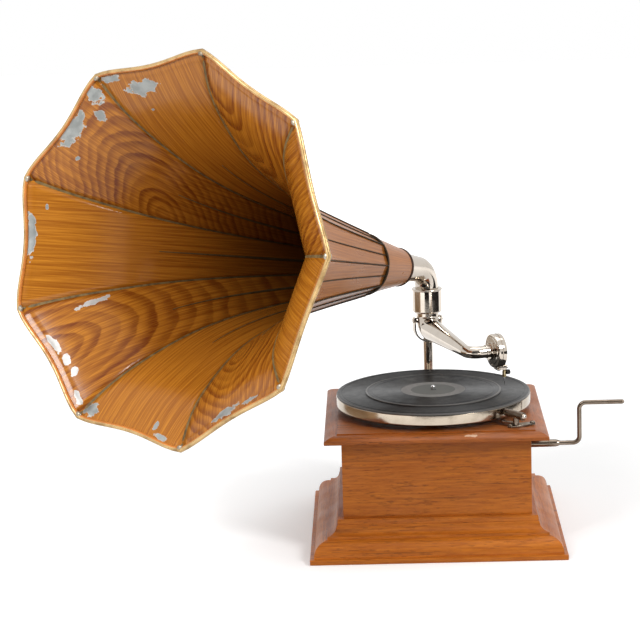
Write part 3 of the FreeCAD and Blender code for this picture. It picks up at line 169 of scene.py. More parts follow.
class Graph:
    """Writes nodes and links into one shader node tree."""

    def __init__(self, tree: bpy.types.NodeTree) -> None:
        """Keeps the tree that the nodes go into."""
        self.tree = tree

    def feed(self, node: bpy.types.Node, values: dict) -> None:
        """Links each input to the output given for it, or sets it to the constant given."""
        for key, value in values.items():
            if isinstance(value, Socket):
                self.tree.links.new(value, node.inputs[key])
            else:
                node.inputs[key].default_value = value

    def node(self, kind: str, values: dict | None = None, **settings: object) -> Outputs:
        """Adds one node.

        Args:
            kind: Blender's name of the node type, without its ShaderNode.
            values: Input socket to a constant, or to the output that feeds it.
            settings: The node's own properties.

        Returns:
            The node's outputs.
        """
        made = self.tree.nodes.new(f"ShaderNode{kind}")
        for name, value in settings.items():
            setattr(made, name, value)
        self.feed(made, values or {})
        return made.outputs

    def use(self, group: bpy.types.NodeTree, **values: object) -> Outputs:
        """Places a shared group and returns its outputs."""
        return self.node("Group", values, node_tree=group)

    def place(self) -> Socket:
        """Place on the object."""
        return self.node("TexCoord")["Object"]

    def math(self, operation: str, first: object, second: object = 0.0, clamp: bool = False) -> Socket:
        """Adds a Math node and returns its value."""
        return self.node("Math", {0: first, 1: second}, operation=operation, use_clamp=clamp)[0]

    def times(self, first: object, second: object) -> Socket:
        """Product of two values."""
        return self.math("MULTIPLY", first, second)

    def plus(self, first: object, second: object) -> Socket:
        """Sum of two values."""
        return self.math("ADD", first, second)

    def vector(self, operation: str, *parts: object) -> Socket:
        """Adds a Vector Math node and returns its vector, or its value where it measures one."""
        made = self.node("VectorMath", dict(enumerate(parts)), operation=operation)
        return made["Value" if operation in ("LENGTH", "DOT_PRODUCT") else "Vector"]

    def noise(self, vector: Socket, scale: float | Colour = 1.0, detail: float = 3.0, rough: float = 0.55,
              bend: float = 0.0) -> Socket:
        """Grey value of a Noise Texture, at one scale or at one for each direction."""
        if isinstance(scale, tuple):
            vector, scale = self.vector("MULTIPLY", vector, scale), 1.0
        return self.node("TexNoise", {"Vector": vector, "Scale": scale, "Detail": detail, "Roughness": rough,
                                      "Distortion": bend})[0]

    def remap(self, value: Socket, low: float, high: float, start: float = 0.0, end: float = 1.0) -> Socket:
        """Eases a value from one range to another and clamps it."""
        values = {"Value": value, "From Min": low, "From Max": high, "To Min": start, "To Max": end}
        return self.node("MapRange", values, interpolation_type="SMOOTHSTEP")[0]

    def mix(self, factor: Socket, first: Socket | Shade, second: Socket | Shade) -> Socket:
        """Mixes two colours."""
        first, second = (linear(colour) if isinstance(colour, tuple) else colour for colour in (first, second))
        return self.node("Mix", {0: factor, 6: first, 7: second}, data_type="RGBA")[2]

    def bump(self, height: Socket, distance: float, strength: float) -> Socket:
        """Turns a height into a normal."""
        return self.node("Bump", {"Height": height, "Distance": distance, "Strength": strength})[0]


def effect(outputs: Sequence[str], **inputs: str) -> Callable:
    """Turns a function that writes nodes into a shared node group of the same name.

    Args:
        outputs: Names of the group's outputs, all plain values.
        inputs: Names and socket types of its inputs.

    Returns:
        A decorator that leaves a function which makes the group once and returns it.
    """
    def wrap(write: Callable[[Graph, Outputs], dict[str, Socket]]) -> Callable[[], bpy.types.NodeTree]:
        """Keeps the function that writes the nodes."""
        def group() -> bpy.types.NodeTree:
            """Makes the group the first time and finds it afterwards."""
            tree = bpy.data.node_groups.get(write.__name__)
            if tree is None:
                tree = bpy.data.node_groups.new(write.__name__, "ShaderNodeTree")
                for label, kind in inputs.items():
                    tree.interface.new_socket(label, in_out="INPUT", socket_type=kind)
                for label in outputs:
                    tree.interface.new_socket(label, in_out="OUTPUT", socket_type=VALUE)
                graph = Graph(tree)
                made = write(graph, tree.nodes.new("NodeGroupInput").outputs)
                graph.feed(tree.nodes.new("NodeGroupOutput"), made)
            return tree
        return group
    return wrap


@effect(("Tone", "Pores", "Streak", "Height"), Vector=VECTOR)
def wood_grain(graph: Graph, given: Outputs) -> dict[str, Socket]:
    """Solid timber with its grain along X: broad streaks, fine lines and short open pores."""
    place = given["Vector"]
    broad = graph.noise(place, (5.0, 48.0, 48.0), bend=0.4)
    fine = graph.noise(place, (26.0, 430.0, 430.0), 4.0, 0.7)
    dash = graph.noise(place, (82.0, 620.0, 620.0), 2.0, 0.6)
    bands = graph.noise(place, (3.0, 30.0, 30.0), 2.0, bend=0.5)
    vein = graph.noise(place, (5.0, 210.0, 210.0), 4.0, 0.65)
    pores = graph.times(graph.remap(dash, 0.55, 0.66), graph.remap(bands, 0.36, 0.60, 0.3, 1.0))
    tone = graph.plus(graph.times(broad, 0.4), graph.times(fine, 0.6))
    return {"Tone": graph.remap(tone, 0.34, 0.66), "Pores": pores,
            "Streak": graph.times(graph.remap(vein, 0.54, 0.68), graph.remap(bands, 0.40, 0.62)),
            "Height": graph.math("SUBTRACT", graph.times(fine, 0.35), pores)}


@effect(("Line", "Hair", "Stroke", "Sway"), Vector=VECTOR, Heart=VECTOR, Turn=VALUE, Slim=VALUE, Pitch=VALUE)
def painted_grain(graph: Graph, given: Outputs) -> dict[str, Socket]:
    """Brushed imitation of oak on flat UV lengths: fine lines along Y, and long ovals about a heart."""
    flat = given["Vector"]
    line = graph.noise(flat, (430.0, 7.0, 1.0), 5.0, 0.62)
    hair = graph.noise(flat, (1500.0, 26.0, 1.0), 2.0)
    sway = graph.noise(flat, (24.0, 11.0, 1.0))
    away = graph.vector("SUBTRACT", flat, given["Heart"])
    turned = graph.node("VectorRotate", {"Vector": away, "Angle": given["Turn"]}, rotation_type="Z_AXIS")[0]
    slim = graph.node("CombineXYZ", {0: given["Slim"], 1: 1.0})[0]
    front = graph.vector("LENGTH", graph.vector("MULTIPLY", turned, slim))
    for waver, reach in ((sway, 0.034), (hair, 0.004)):
        front = graph.plus(front, graph.times(waver, reach))
    turn = graph.math("DIVIDE", front, given["Pitch"])
    saw = graph.math("FRACT", turn)
    stroke = graph.times(graph.remap(saw, 0.12, 0.74), graph.remap(saw, 1.0, 0.86))
    chance = graph.node("TexWhiteNoise", {"W": graph.math("FLOOR", turn)}, noise_dimensions="1D")[0]
    broken = graph.remap(graph.noise(flat, (820.0, 46.0, 1.0)), 0.34, 0.60, 0.55, 1.0)
    plain = graph.remap(graph.noise(flat, (19.0, 10.0, 1.0), 2.0), 0.34, 0.54, 0.45, 1.0)
    for share in (graph.remap(chance, 0.0, 1.0, 0.4, 1.0), broken, plain):
        stroke = graph.times(stroke, share)
    return {"Line": graph.remap(line, 0.36, 0.66), "Hair": graph.remap(hair, 0.35, 0.75), "Stroke": stroke,
            "Sway": sway}


@effect(("Mask", "Edge"), Vector=VECTOR, Centre=VECTOR, Reach=VECTOR)
def chip_and_glint_patch(graph: Graph, given: Outputs) -> dict[str, Socket]:
    """One ragged patch on flat lengths: lost paint on the horn, and a painted highlight spot on the lid."""
    away = graph.vector("SUBTRACT", given["Vector"], given["Centre"])
    far = graph.vector("LENGTH", graph.vector("DIVIDE", away, given["Reach"]))
    ragged = graph.noise(given["Vector"], (88.0, 88.0, 1.0), 4.0, 0.62)
    edge = graph.plus(far, graph.times(graph.math("SUBTRACT", ragged, 0.5), 2.9))
    mask = graph.remap(edge, 1.16, 1.04)
    return {"Mask": mask, "Edge": graph.times(mask, graph.remap(edge, 0.92, 1.04))}


@effect(("Cloud", "Specks", "Rub"), Vector=VECTOR)
def tarnish(graph: Graph, given: Outputs) -> dict[str, Socket]:
    """Cloudy patches, specks and rubbing marks of old plate."""
    place = given["Vector"]
    return {"Cloud": graph.remap(graph.noise(place, 46.0, 5.0, 0.6), 0.40, 0.70),
            "Specks": graph.remap(graph.noise(place, 620.0, 3.0, 0.6), 0.62, 0.74),
            "Rub": graph.noise(place, (240.0, 240.0, 1900.0), 2.0)}


@effect(("Wave", "Band", "Out"), Vector=VECTOR, Pitch=VALUE)
def fine_rings(graph: Graph, given: Outputs) -> dict[str, Socket]:
    """Close concentric rings about the spindle."""
    out = graph.vector("LENGTH", graph.vector("MULTIPLY", given["Vector"], (1.0, 1.0, 0.0)))
    wave = graph.math("SINE", graph.math("DIVIDE", graph.times(out, 2 * math.pi), given["Pitch"]))
    spread = graph.node("CombineXYZ", {0: graph.times(out, 900.0)})[0]
    return {"Wave": wave, "Band": graph.noise(spread, 1.0, 3.0, 0.7), "Out": out}


def blank(name: str) -> tuple[bpy.types.Material, Graph, bpy.types.Node]:
    """New material, the graph of its nodes, and its shader."""
    made = bpy.data.materials.new(name)
    made.use_nodes = True
    return made, Graph(made.node_tree), made.node_tree.nodes["Principled BSDF"]


class GrainAxis(Enum):
    """Direction of a board's grain, as the turn that brings X onto it."""

    ACROSS = (0.0, 0.0, 0.0)
    DEEP = (0.0, 0.0, math.pi / 2)


@dataclass(frozen=True)
class Finish:
    """A named procedural material."""

    name: str

    def material(self) -> bpy.types.Material:
        """Makes the material the first time and finds it afterwards."""
        title = f"{self.name}_finish"
        made = bpy.data.materials.get(title)
        if made is None:
            made, graph, shader = blank(title)
            self.dress(graph, shader)
        return made

    def dress(self, graph: Graph, shader: bpy.types.Node) -> None:
        """Writes the finish onto the shader, and is filled in by each kind of finish."""
        raise NotImplementedError


@dataclass(frozen=True)
class VarnishedWood(Finish):
    """Satin-varnished timber cut from the solid, with a painted highlight spot if its place and reach are given."""

    grain: GrainAxis = GrainAxis.ACROSS
    pale: Shade = (196, 114, 33)
    dark: Shade = (162, 85, 19)
    pore: Shade = (86, 43, 13)
    # Pale tone of the painted highlight spot.
    glint_tone: Shade = (236, 206, 176)
    streak: float = 0.45
    pores: float = 0.45
    shift: float = 0.0
    # Place and reach of the painted highlight spot.
    painted_glint: tuple[Colour, Colour] | None = None

    def dress(self, graph: Graph, shader: bpy.types.Node) -> None:
        """Streaks, pores, a varnish that dulls in patches, and a painted highlight spot where one is given."""
        place = graph.place()
        along = graph.node("Mapping", {"Vector": place, "Location": (self.shift,) * 3,
                                       "Rotation": self.grain.value})[0]
        grain = graph.use(wood_grain(), Vector=along)
        colour = graph.mix(grain["Tone"], self.dark, self.pale)
        for layer, share in (("Streak", self.streak), ("Pores", self.pores)):
            colour = graph.mix(graph.times(grain[layer], share), colour, self.pore)
        # Painted highlight: a pale spot that stands in for a lamp's reflection.
        if self.painted_glint:
            patch = graph.use(chip_and_glint_patch(), Vector=place, Centre=self.painted_glint[0], Reach=self.painted_glint[1])
            colour = graph.mix(graph.times(patch["Mask"], 0.7), colour, self.glint_tone)
        graph.feed(shader, {
            "Base Color": colour, "Roughness": graph.remap(graph.noise(place, 28.0, 4.0), 0.3, 0.7, 0.33, 0.46),
            "Specular IOR Level": 0.3, "Normal": graph.bump(grain["Height"], 0.12 * MM, 0.8)})


@dataclass(frozen=True)
class Chip:
    """A patch of lost paint in millimetres: its place across and along a panel from the rim, and its reach."""

    across: float
    along: float
    wide: float
    long: float


@dataclass(frozen=True)
class HornPaint(Finish):
    """Glossy painted oak on tin, with rings of figure about a heart and chips down to the metal."""

    heart: Point = (0.0, 0.0)
    turn: float = 0.0
    slim: float = 2.4
    pitch: float = 20.0 * MM
    figure: float = 0.0
    chips: tuple[Chip, ...] = ()
    pale: Shade = (190, 123, 37)
    dark: Shade = (146, 84, 20)
    line: Shade = (104, 44, 6)
    # Painted shade: the paint darkens towards the throat, over the sheet length set by depth.
    throat_shade: Shade = (64, 29, 9)
    tin: Shade = (154, 157, 155)
    edge: Shade = (206, 204, 196)
    depth: float = 0.45
    gloss: float = 0.17

    def dress(self, graph: Graph, shader: bpy.types.Node) -> None:
        """Fine lines, figure, painted shade towards the throat, chips and small flecks."""
        flat = graph.node("UVMap", uv_map="Sheet")[0]
        along = graph.node("SeparateXYZ", {0: flat})[1]
        grain = graph.use(painted_grain(), Vector=flat, Heart=(*self.heart, 0.0), Turn=math.radians(self.turn),
                          Slim=self.slim, Pitch=self.pitch)
        body = graph.mix(grain["Line"], self.dark, self.pale)
        # The last layer is painted shade towards the throat.
        for factor, shade in ((graph.times(grain["Hair"], 0.22 if self.figure else 0.42), self.dark),
                              (graph.times(grain["Stroke"], self.figure), self.line),
                              (graph.remap(along, 0.06, self.depth, 0.0, 0.88), self.throat_shade)):
            body = graph.mix(factor, body, shade)
        flecks = graph.plus(graph.noise(flat, (85.0, 85.0, 1.0), 5.0, 0.75), graph.remap(along, 0.10, 0.0, 0.0, 0.06))
        bare = graph.remap(flecks, 0.745, 0.752)
        pale_edge = graph.remap(along, 0.006, 0.0, 0.0, 0.4)
        for chip in self.chips:
            patch = graph.use(chip_and_glint_patch(), Vector=flat, Centre=(chip.across * MM, chip.along * MM, 0.0),
                              Reach=(chip.wide * MM, chip.long * MM, 1.0))
            bare = graph.math("MAXIMUM", bare, patch["Mask"])
            pale_edge = graph.math("MAXIMUM", pale_edge, patch["Edge"])
        dull = tuple(int(0.86 * value) for value in self.tin)
        metal = graph.mix(graph.remap(graph.noise(flat, (60.0, 60.0, 1.0)), 0.35, 0.65), self.tin, dull)
        metal = graph.mix(graph.times(pale_edge, 0.5), metal, self.edge)
        height = graph.math("SUBTRACT", graph.times(grain["Line"], 0.12), bare)
        gloss = graph.remap(grain["Sway"], 0.3, 0.7, self.gloss, self.gloss + 0.08)
        graph.feed(shader, {
            "Base Color": graph.mix(bare, body, metal), "Metallic": graph.times(bare, 0.3),
            "Roughness": graph.plus(graph.times(bare, 0.24), gloss), "Specular IOR Level": 0.32,
            "Normal": graph.bump(height, 0.2 * MM, 0.6)})


@dataclass(frozen=True)
class Plate(Finish):
    """Metal, polished or worn, with clouds of tarnish."""

    bright: Shade = (203, 193, 181)
    stain: Shade = (140, 122, 102)
    cloud: float = 0.10
    specks: float = 0.15
    smooth: float = 0.07
    rough: float = 0.16
    scratch: float = 0.01
    metal: float = 1.0

    def dress(self, graph: Graph, shader: bpy.types.Node) -> None:
        """Tints and dulls the metal by the shared tarnish."""
        old = graph.use(tarnish(), Vector=graph.place())
        dirt = graph.math("ADD", graph.times(old["Cloud"], self.cloud), graph.times(old["Specks"], self.specks), True)
        graph.feed(shader, {
            "Base Color": graph.mix(dirt, self.bright, self.stain), "Metallic": self.metal,
            "Roughness": graph.remap(old["Cloud"], 0.0, 1.0, self.smooth, self.rough),
            "Normal": graph.bump(old["Rub"], self.scratch * MM, 0.5)})


@dataclass(frozen=True)
class RingedDisc(Finish):
    """Dark disc with close rings that stretch its highlights, and a painted sheen on the band at its rim."""

    body: Shade = (18, 17, 16)
    band: Shade = (36, 35, 34)
    dusty: Shade = (96, 92, 86)
    # Painted sheen: a lighter tone on the band beyond the rim radius, where the smooth edge catches the light.
    worn: Shade = (132, 129, 126)
    pitch: float = 1.1 * MM
    rough: float = 0.38
    stretch: float = 0.93
    relief: float = 0.02
    shine: float = 0.31
    rim: float = 1.0

    def dress(self, graph: Graph, shader: bpy.types.Node) -> None:
        """Rings in tone and relief, with dust and a painted sheen at the rim."""
        place = graph.place()
        rings = graph.use(fine_rings(), Vector=place, Pitch=self.pitch)
        dust = graph.noise(place, 90.0, 6.0, 0.7)
        colour = graph.mix(graph.remap(rings["Band"], 0.35, 0.65), self.body, self.band)
        colour = graph.mix(graph.remap(dust, 0.56, 0.80, 0.0, 0.25), colour, self.dusty)
        # Painted highlight on the band beyond the rim radius.
        colour = graph.mix(graph.remap(rings["Out"], self.rim, self.rim + 0.8 * MM, 0.0, 0.5), colour, self.worn)
        graph.feed(shader, {
            "Base Color": colour, "Roughness": graph.remap(dust, 0.3, 0.8, self.rough, self.rough + 0.12),
            "Anisotropic": self.stretch, "Anisotropic Rotation": 0.25,
            "Tangent": graph.node("Tangent", direction_type="UV_MAP", uv_map="Round")[0],
            "Specular IOR Level": self.shine, "Normal": graph.bump(rings["Wave"], self.relief * MM, 0.5)})


@dataclass(frozen=True)
class Matt(Finish):
    """Plain soft or dull stuff with a mottled tone: leather, paper, bone black."""

    pale: Shade = (90, 60, 40)
    dark: Shade = (50, 32, 20)
    scale: float = 300.0
    rough: float = 0.6
    relief: float = 0.05

    def tone(self, graph: Graph, mottle: Socket) -> Socket:
        """Colour at each place of the mottling."""
        return graph.mix(graph.remap(mottle, 0.3, 0.7), self.dark, self.pale)

    def dress(self, graph: Graph, shader: bpy.types.Node) -> None:
        """Mottling in tone and relief."""
        mottle = graph.noise(graph.place(), self.scale, 5.0, 0.6)
        graph.feed(shader, {
            "Base Color": self.tone(graph, mottle), "Specular IOR Level": 0.25,
            "Roughness": graph.remap(mottle, 0.3, 0.7, self.rough, self.rough + 0.1),
            "Normal": graph.bump(mottle, self.relief * MM, 0.6)})


@dataclass(frozen=True)
class SeamTin(Matt):
    """Dull folded tin, with painted shade that darkens it from the horn's mouth to its neck."""

    # Colour of the painted shade at the neck.
    deep: Shade = (30, 18, 8)
    mouth: float = 540.0 * MM
    neck: float = 260.0 * MM

    def tone(self, graph: Graph, mottle: Socket) -> Socket:
        """Adds painted shade along the horn's axis, darker towards the neck."""
        axis = joint_axis("horn_pull_off")
        start = joint_place("horn_swing").dot(axis)
        along = graph.vector("DOT_PRODUCT", graph.place(), axis)
        shade = graph.remap(along, start + self.mouth, start + self.neck, 0.0, 0.85)
        return graph.mix(shade, super().tone(graph, mottle), self.deep)


@dataclass(frozen=True)
class Mica(Finish):
    """Thin cloudy mica."""

    dark: Shade = (168, 156, 132)
    pale: Shade = (206, 198, 180)

    def dress(self, graph: Graph, shader: bpy.types.Node) -> None:
        """Pale, half clear and flaky."""
        flake = graph.noise(graph.place(), (60.0, 140.0, 140.0), 5.0)
        graph.feed(shader, {
            "Base Color": graph.mix(graph.remap(flake, 0.35, 0.65), self.dark, self.pale),
            "Roughness": graph.remap(flake, 0.3, 0.7, 0.15, 0.3), "Transmission Weight": 0.35})


CASE_ACROSS = VarnishedWood("case_wood_across")
CASE_DEEP = VarnishedWood("case_wood_deep", grain=GrainAxis.DEEP, shift=0.37)
BASE_ACROSS = VarnishedWood("base_wood_across", streak=0.75, shift=0.11)
BASE_DEEP = VarnishedWood("base_wood_deep", grain=GrainAxis.DEEP, streak=0.75, shift=0.23)
# The lid moulding takes a painted highlight spot on its front bevel.
TOP_ACROSS = VarnishedWood("top_wood_across", dark=(138, 73, 25), pale=(180, 100, 38), streak=0.9, pores=0.6,
                           shift=0.53, painted_glint=((0.044, -0.136, 0.158), (0.0075, 0.0024, 0.0024)))
TOP_DEEP = replace(TOP_ACROSS, name="top_wood_deep", grain=GrainAxis.DEEP, shift=0.71, painted_glint=None)
NICKEL = Plate("nickel_plate")
RIM_NICKEL = Plate("platter_nickel", bright=(186, 173, 156), cloud=0.2, smooth=0.12, rough=0.2)
CASTING = Plate("plated_casting", bright=(190, 182, 172), cloud=0.35, specks=0.3, smooth=0.18, rough=0.34,
                scratch=0.05)
WORN_NICKEL = Plate("worn_nickel", bright=(138, 125, 112), stain=(96, 80, 64), cloud=0.7, specks=0.5, smooth=0.16,
                    rough=0.34, scratch=0.04)
STEEL = Plate("bright_steel", bright=(205, 205, 205), stain=(120, 118, 115), cloud=0.2, smooth=0.12, rough=0.25)
MOTOR_STEEL = Plate("motor_steel", bright=(150, 150, 150), stain=(92, 88, 82), cloud=0.5, smooth=0.25, rough=0.45,
                    scratch=0.05)
SPRING_STEEL = Plate("blued_spring", bright=(92, 98, 120), stain=(60, 56, 60), cloud=0.5, smooth=0.2, rough=0.4)
MOTOR_BRASS = Plate("motor_brass", bright=(205, 170, 96), stain=(140, 104, 56), cloud=0.5, smooth=0.2, rough=0.38,
                    scratch=0.04)
CHUCK_BRASS = Plate("chuck_brass", bright=(216, 198, 156), stain=(150, 116, 68), cloud=0.5, smooth=0.15, rough=0.3)
GILT = Plate("gilt_rim", bright=(204, 170, 116), stain=(122, 92, 52), cloud=0.8, specks=0.7, smooth=0.26, rough=0.45,
             scratch=0.08, metal=0.5)
LIP_PAINT = Plate("rim_paint", bright=(202, 126, 56), stain=(128, 70, 26), cloud=0.5, specks=0.8, smooth=0.26,
                  rough=0.42, scratch=0.06, metal=0.0)
SOLDER = Plate("corner_solder", bright=(166, 156, 140), stain=(104, 88, 66), cloud=0.7, specks=0.5, smooth=0.3,
               rough=0.45, scratch=0.05, metal=0.5)
SEAM = SeamTin("seam_metal", pale=(124, 102, 62), dark=(80, 62, 34), scale=120.0, rough=0.5, relief=0.03)
BLACK_SCREW = Matt("black_screw", pale=(40, 38, 36), dark=(14, 13, 12), rough=0.32, relief=0.01)
LEATHER = Matt("brake_leather", pale=(74, 52, 38), dark=(36, 24, 18), rough=0.75)
DARK_BUSH = Matt("dark_bush", pale=(72, 44, 26), dark=(40, 24, 14), rough=0.45)
LABEL = Matt("plain_label", pale=(132, 130, 127), dark=(112, 110, 107), scale=160.0, rough=0.5, relief=0.01)
LABEL_FIELD = Matt("label_field", pale=(98, 99, 95), dark=(82, 83, 80), scale=160.0, rough=0.5, relief=0.01)
MAT_RUBBER = RingedDisc("mat_rubber", pitch=1.6 * MM, rough=0.42, relief=0.03, rim=124.6 * MM)
SHELLAC = RingedDisc("record_shellac", body=(10, 10, 10), band=(24, 23, 22), pitch=0.9 * MM, rough=0.32, shine=0.19,
                     rim=86.0 * MM)
MICA = Mica("mica_sheet")
HORN_BACK = HornPaint("horn_back", pale=(184, 116, 52), dark=(150, 88, 34), depth=2.0, gloss=0.26)
HORN_PAINTS = (
    HornPaint("horn_paint_1", chips=(Chip(23, 26, 19, 9), Chip(62, 8, 13, 4), Chip(25, 60, 2.4, 2))),
    HornPaint("horn_paint_2", figure=0.95, heart=(35 * MM, 178 * MM), turn=30.0, slim=2.25, pitch=18 * MM,
              chips=(Chip(-60, 12, 9, 11), Chip(-44, 33, 6, 8), Chip(-8, 11, 22, 10), Chip(19, 38, 3, 3))),
    HornPaint("horn_paint_3", chips=(Chip(-12, 7, 24, 6), Chip(-47, 29, 3, 2))),
    # Panel 4's chips take a brighter tin: painted highlight where the bare metal catches the lamp.
    HornPaint("horn_paint_4", figure=0.95, heart=(-8 * MM, -10 * MM), slim=2.6, pitch=27 * MM, tin=(196, 194, 190),
              chips=(Chip(-45, 88, 3, 20), Chip(-18, 15, 13, 5), Chip(8, 19, 7, 5), Chip(27, 21, 5, 5),
                     Chip(60, 11, 9, 4))),
    HornPaint("horn_paint_5", chips=(Chip(-67, 14, 9, 9), Chip(30, 18, 3, 6), Chip(45, 7, 10, 3))),
    HornPaint("horn_paint_6", figure=0.9, heart=(-20 * MM, 150 * MM), turn=-11.0, slim=2.2, pitch=19 * MM,
              chips=(Chip(-9, 13, 17, 6), Chip(32, 11, 11, 3))),
    HornPaint("horn_paint_7"),
    HornPaint("horn_paint_8", figure=0.95, heart=(110 * MM, -20 * MM), turn=-20.0, slim=2.5, pitch=24 * MM),
    HornPaint("horn_paint_9", figure=1.0, heart=(52 * MM, 10 * MM), turn=-16.0, slim=2.5, pitch=28 * MM),
)


class Form:
    """A bmesh that grows by operators and ends as one object on a body."""

    def __init__(self, node: str = "") -> None:
        """Starts with nothing, or with a merged copy of a frame node's mesh."""
        self.mesh = mesh = bmesh.new()
        if node:
            mesh.from_mesh(NODES[node].data)
            bmesh.ops.remove_doubles(mesh, verts=mesh.verts, dist=SAME_POINT)
            bmesh.ops.dissolve_limit(mesh, angle_limit=SAME_PLANE, verts=mesh.verts, edges=mesh.edges)

    def spin(self, outline: Sequence[Point], place: Matrix = HOME, steps: int = 96) -> "Form":
        """Turns an outline of (radius, height) points about the Z of a place.

        Args:
            outline: Points in order; the first and last are joined unless both lie on the axis.
            place: Frame that the outline is drawn in.
            steps: Faces round the full turn.

        Returns:
            The form.
        """
        verts = [self.mesh.verts.new(place @ Vector((radius, 0, height))) for radius, height in outline]
        pairs = list(zip(verts, verts[1:]))
        if max(outline[0][0], outline[-1][0]) > ON_AXIS:
            pairs.append((verts[-1], verts[0]))
        edges = [self.mesh.edges.new(pair) for pair in pairs]
        bmesh.ops.spin(self.mesh, geom=verts + edges, cent=place.translation, axis=place.to_3x3().col[2],
                       angle=2 * math.pi, steps=steps, use_merge=True)
        bmesh.ops.remove_doubles(self.mesh, verts=self.mesh.verts, dist=SAME_TURN)
        return self

    def rod(self, radius: float, start: Vector, end: Vector, edge: float = 0.0, steps: int = 32) -> "Form":
        """Adds a round bar with softened ends."""
        length = (end - start).length
        soft = max(edge, 0.05 * radius)
        return self.spin([(0, 0), (radius - soft, 0), (radius, soft), (radius, length - soft),
                          (radius - soft, length), (0, length)], facing(start, end - start), steps)

    def block(self, low: Vector, high: Vector, edge: float, place: Matrix = HOME) -> "Form":
        """Adds a box between two corners of a place, with softened edges."""
        shape = place @ Matrix.Translation((low + high) / 2) @ Matrix.Diagonal((*(high - low), 1))
        made = bmesh.ops.create_cube(self.mesh, size=1, matrix=shape)["verts"]
        return self.soften(list({side for vert in made for side in vert.link_edges}), edge)

    def soften(self, edges: list, width: float, segments: int = 2) -> "Form":
        """Rounds edges a little, so that they catch the light."""
        bmesh.ops.bevel(self.mesh, geom=edges, offset=width, affect="EDGES", segments=segments, profile=0.5,
                        material=-1, clamp_overlap=True)
        return self

    def soften_sharp(self, width: float, angle: float = 50.0, segments: int = 2) -> "Form":
        """Rounds every edge that turns by more than an angle."""
        limit = math.radians(angle)
        sharp = [edge for edge in self.mesh.edges if edge.is_manifold and edge.calc_face_angle(0) > limit]
        return self.soften(sharp, width, segments)

    def slotted_head(self, place: Matrix, radius: float, height: float) -> None:
        """Adds a low domed screw head with a slot cut across it.

        Args:
            place: Frame at the foot of the head, Z outwards.
            radius: Half its width.
            height: Its height.
        """
        rim, crown, dip, bottom = (share * height for share in (0.25, 0.62, 0.5, 0.55))
        half = 0.14 * radius
        outline = [(0.0, 0.0), (radius, 0.0), *oval((0.0, rim), radius, height - rim, 0, 90, 9)]
        head = Form().spin(outline, steps=32).mesh
        bmesh.ops.recalc_face_normals(head, faces=head.faces)
        for offset in (-half, half):
            bmesh.ops.bisect_plane(head, geom=[*head.verts, *head.edges, *head.faces], plane_co=(0, offset, 0),
                                   plane_no=(0, 1, 0))
        for vert in head.verts:
            if abs(vert.co.y) < 0.99 * half and vert.co.z > crown:
                vert.co.z = dip
        slot = [face for face in head.faces if abs(face.calc_center_median().y) < half and face.normal.z > 0.2]
        floor = new_verts(bmesh.ops.extrude_face_region(head, geom=slot)["geom"])
        bmesh.ops.delete(head, geom=slot, context="FACES")
        for vert in floor:
            vert.co.z = min(vert.co.z, bottom)
        bmesh.ops.transform(head, matrix=place, verts=head.verts)
        data = bpy.data.meshes.new("head")
        head.to_mesh(data)
        head.free()
        self.mesh.from_mesh(data)
        bpy.data.meshes.remove(data)

    def knurled_head(self, place: Matrix, radius: float, length: float, teeth: int) -> None:
        """Adds a thumbscrew's head with a toothed rim.

        Args:
            place: Frame at the foot of the head, Z outwards.
            radius: Half its width.
            length: Its thickness.
            teeth: Ridges round it.
        """
        mesh, groove, edge, dome = self.mesh, 0.9, 0.18 * radius, 0.12 * radius
        verts = bmesh.ops.create_circle(mesh, segments=4 * teeth, radius=radius, cap_ends=True, matrix=place)["verts"]
        for k, vert in enumerate(verts):
            if k % 4 >= 2:
                vert.co = place @ (groove * (place.inverted() @ vert.co))
        made = bmesh.ops.extrude_face_region(mesh, geom=verts[0].link_faces[:])["geom"]
        bmesh.ops.translate(mesh, verts=new_verts(made), vec=place.to_3x3().col[2] * length)
        cap = [item for item in made if isinstance(item, bmesh.types.BMFace)]
        bmesh.ops.inset_region(mesh, faces=cap, thickness=edge, depth=dome)

    def wrap(self, name: str, flat: Callable[[Vector, float], Point], place: Matrix = HOME) -> "Form":
        """Adds a UV map that runs round the Z of a place without a break inside any face.

        Args:
            name: The map's name.
            flat: Gives U and V from a corner's place and its angle.
            place: Frame that the places are given in.

        Returns:
            The form.
        """
        layer = self.mesh.loops.layers.uv.new(name)
        home = place.inverted()
        for face in self.mesh.faces:
            middle = home @ face.calc_center_median()
            centre = math.atan2(middle.y, middle.x)
            for loop in face.loops:
                spot = home @ loop.vert.co
                away = math.remainder(math.atan2(spot.y, spot.x) - centre, 2 * math.pi)
                loop[layer].uv = flat(spot, centre + away)
        return self

    def mark(self, test: Callable[[bmesh.types.BMFace], bool]) -> "Form":
        """Gives the second finish to the faces that pass a test."""
        for face in self.mesh.faces:
            face.material_index = int(test(face))
        return self

    def data(self, name: str, materials: Sequence[bpy.types.Material]) -> bpy.types.Mesh:
        """Ends the bmesh as mesh data with its materials."""
        made = bpy.data.meshes.new(name)
        self.mesh.to_mesh(made)
        self.mesh.free()
        for material in materials:
            made.materials.append(material)
        return made

    def finish(self, node: str, body: str, slot: str, *finishes: Finish, smooth: float = 32.0, name: str = "") -> None:
        """Turns the mesh into an object that rides a body, with its normals evened out.

        Args:
            node: Frame node that it stands for, if any.
            body: The body that carries it.
            slot: The record's material slot; not used.
            finishes: One finish for each material number of the mesh.
            smooth: Angle in degrees above which an edge stays sharp.
            name: The piece's name, where the node's doesn't give it.
        """
        bmesh.ops.recalc_face_normals(self.mesh, faces=self.mesh.faces)
        piece = self.hand_over(name or f"{node}_finished", node, body, finishes, smooth)
        piece.modifiers.new("even_normals", "WEIGHTED_NORMAL").keep_sharp = True

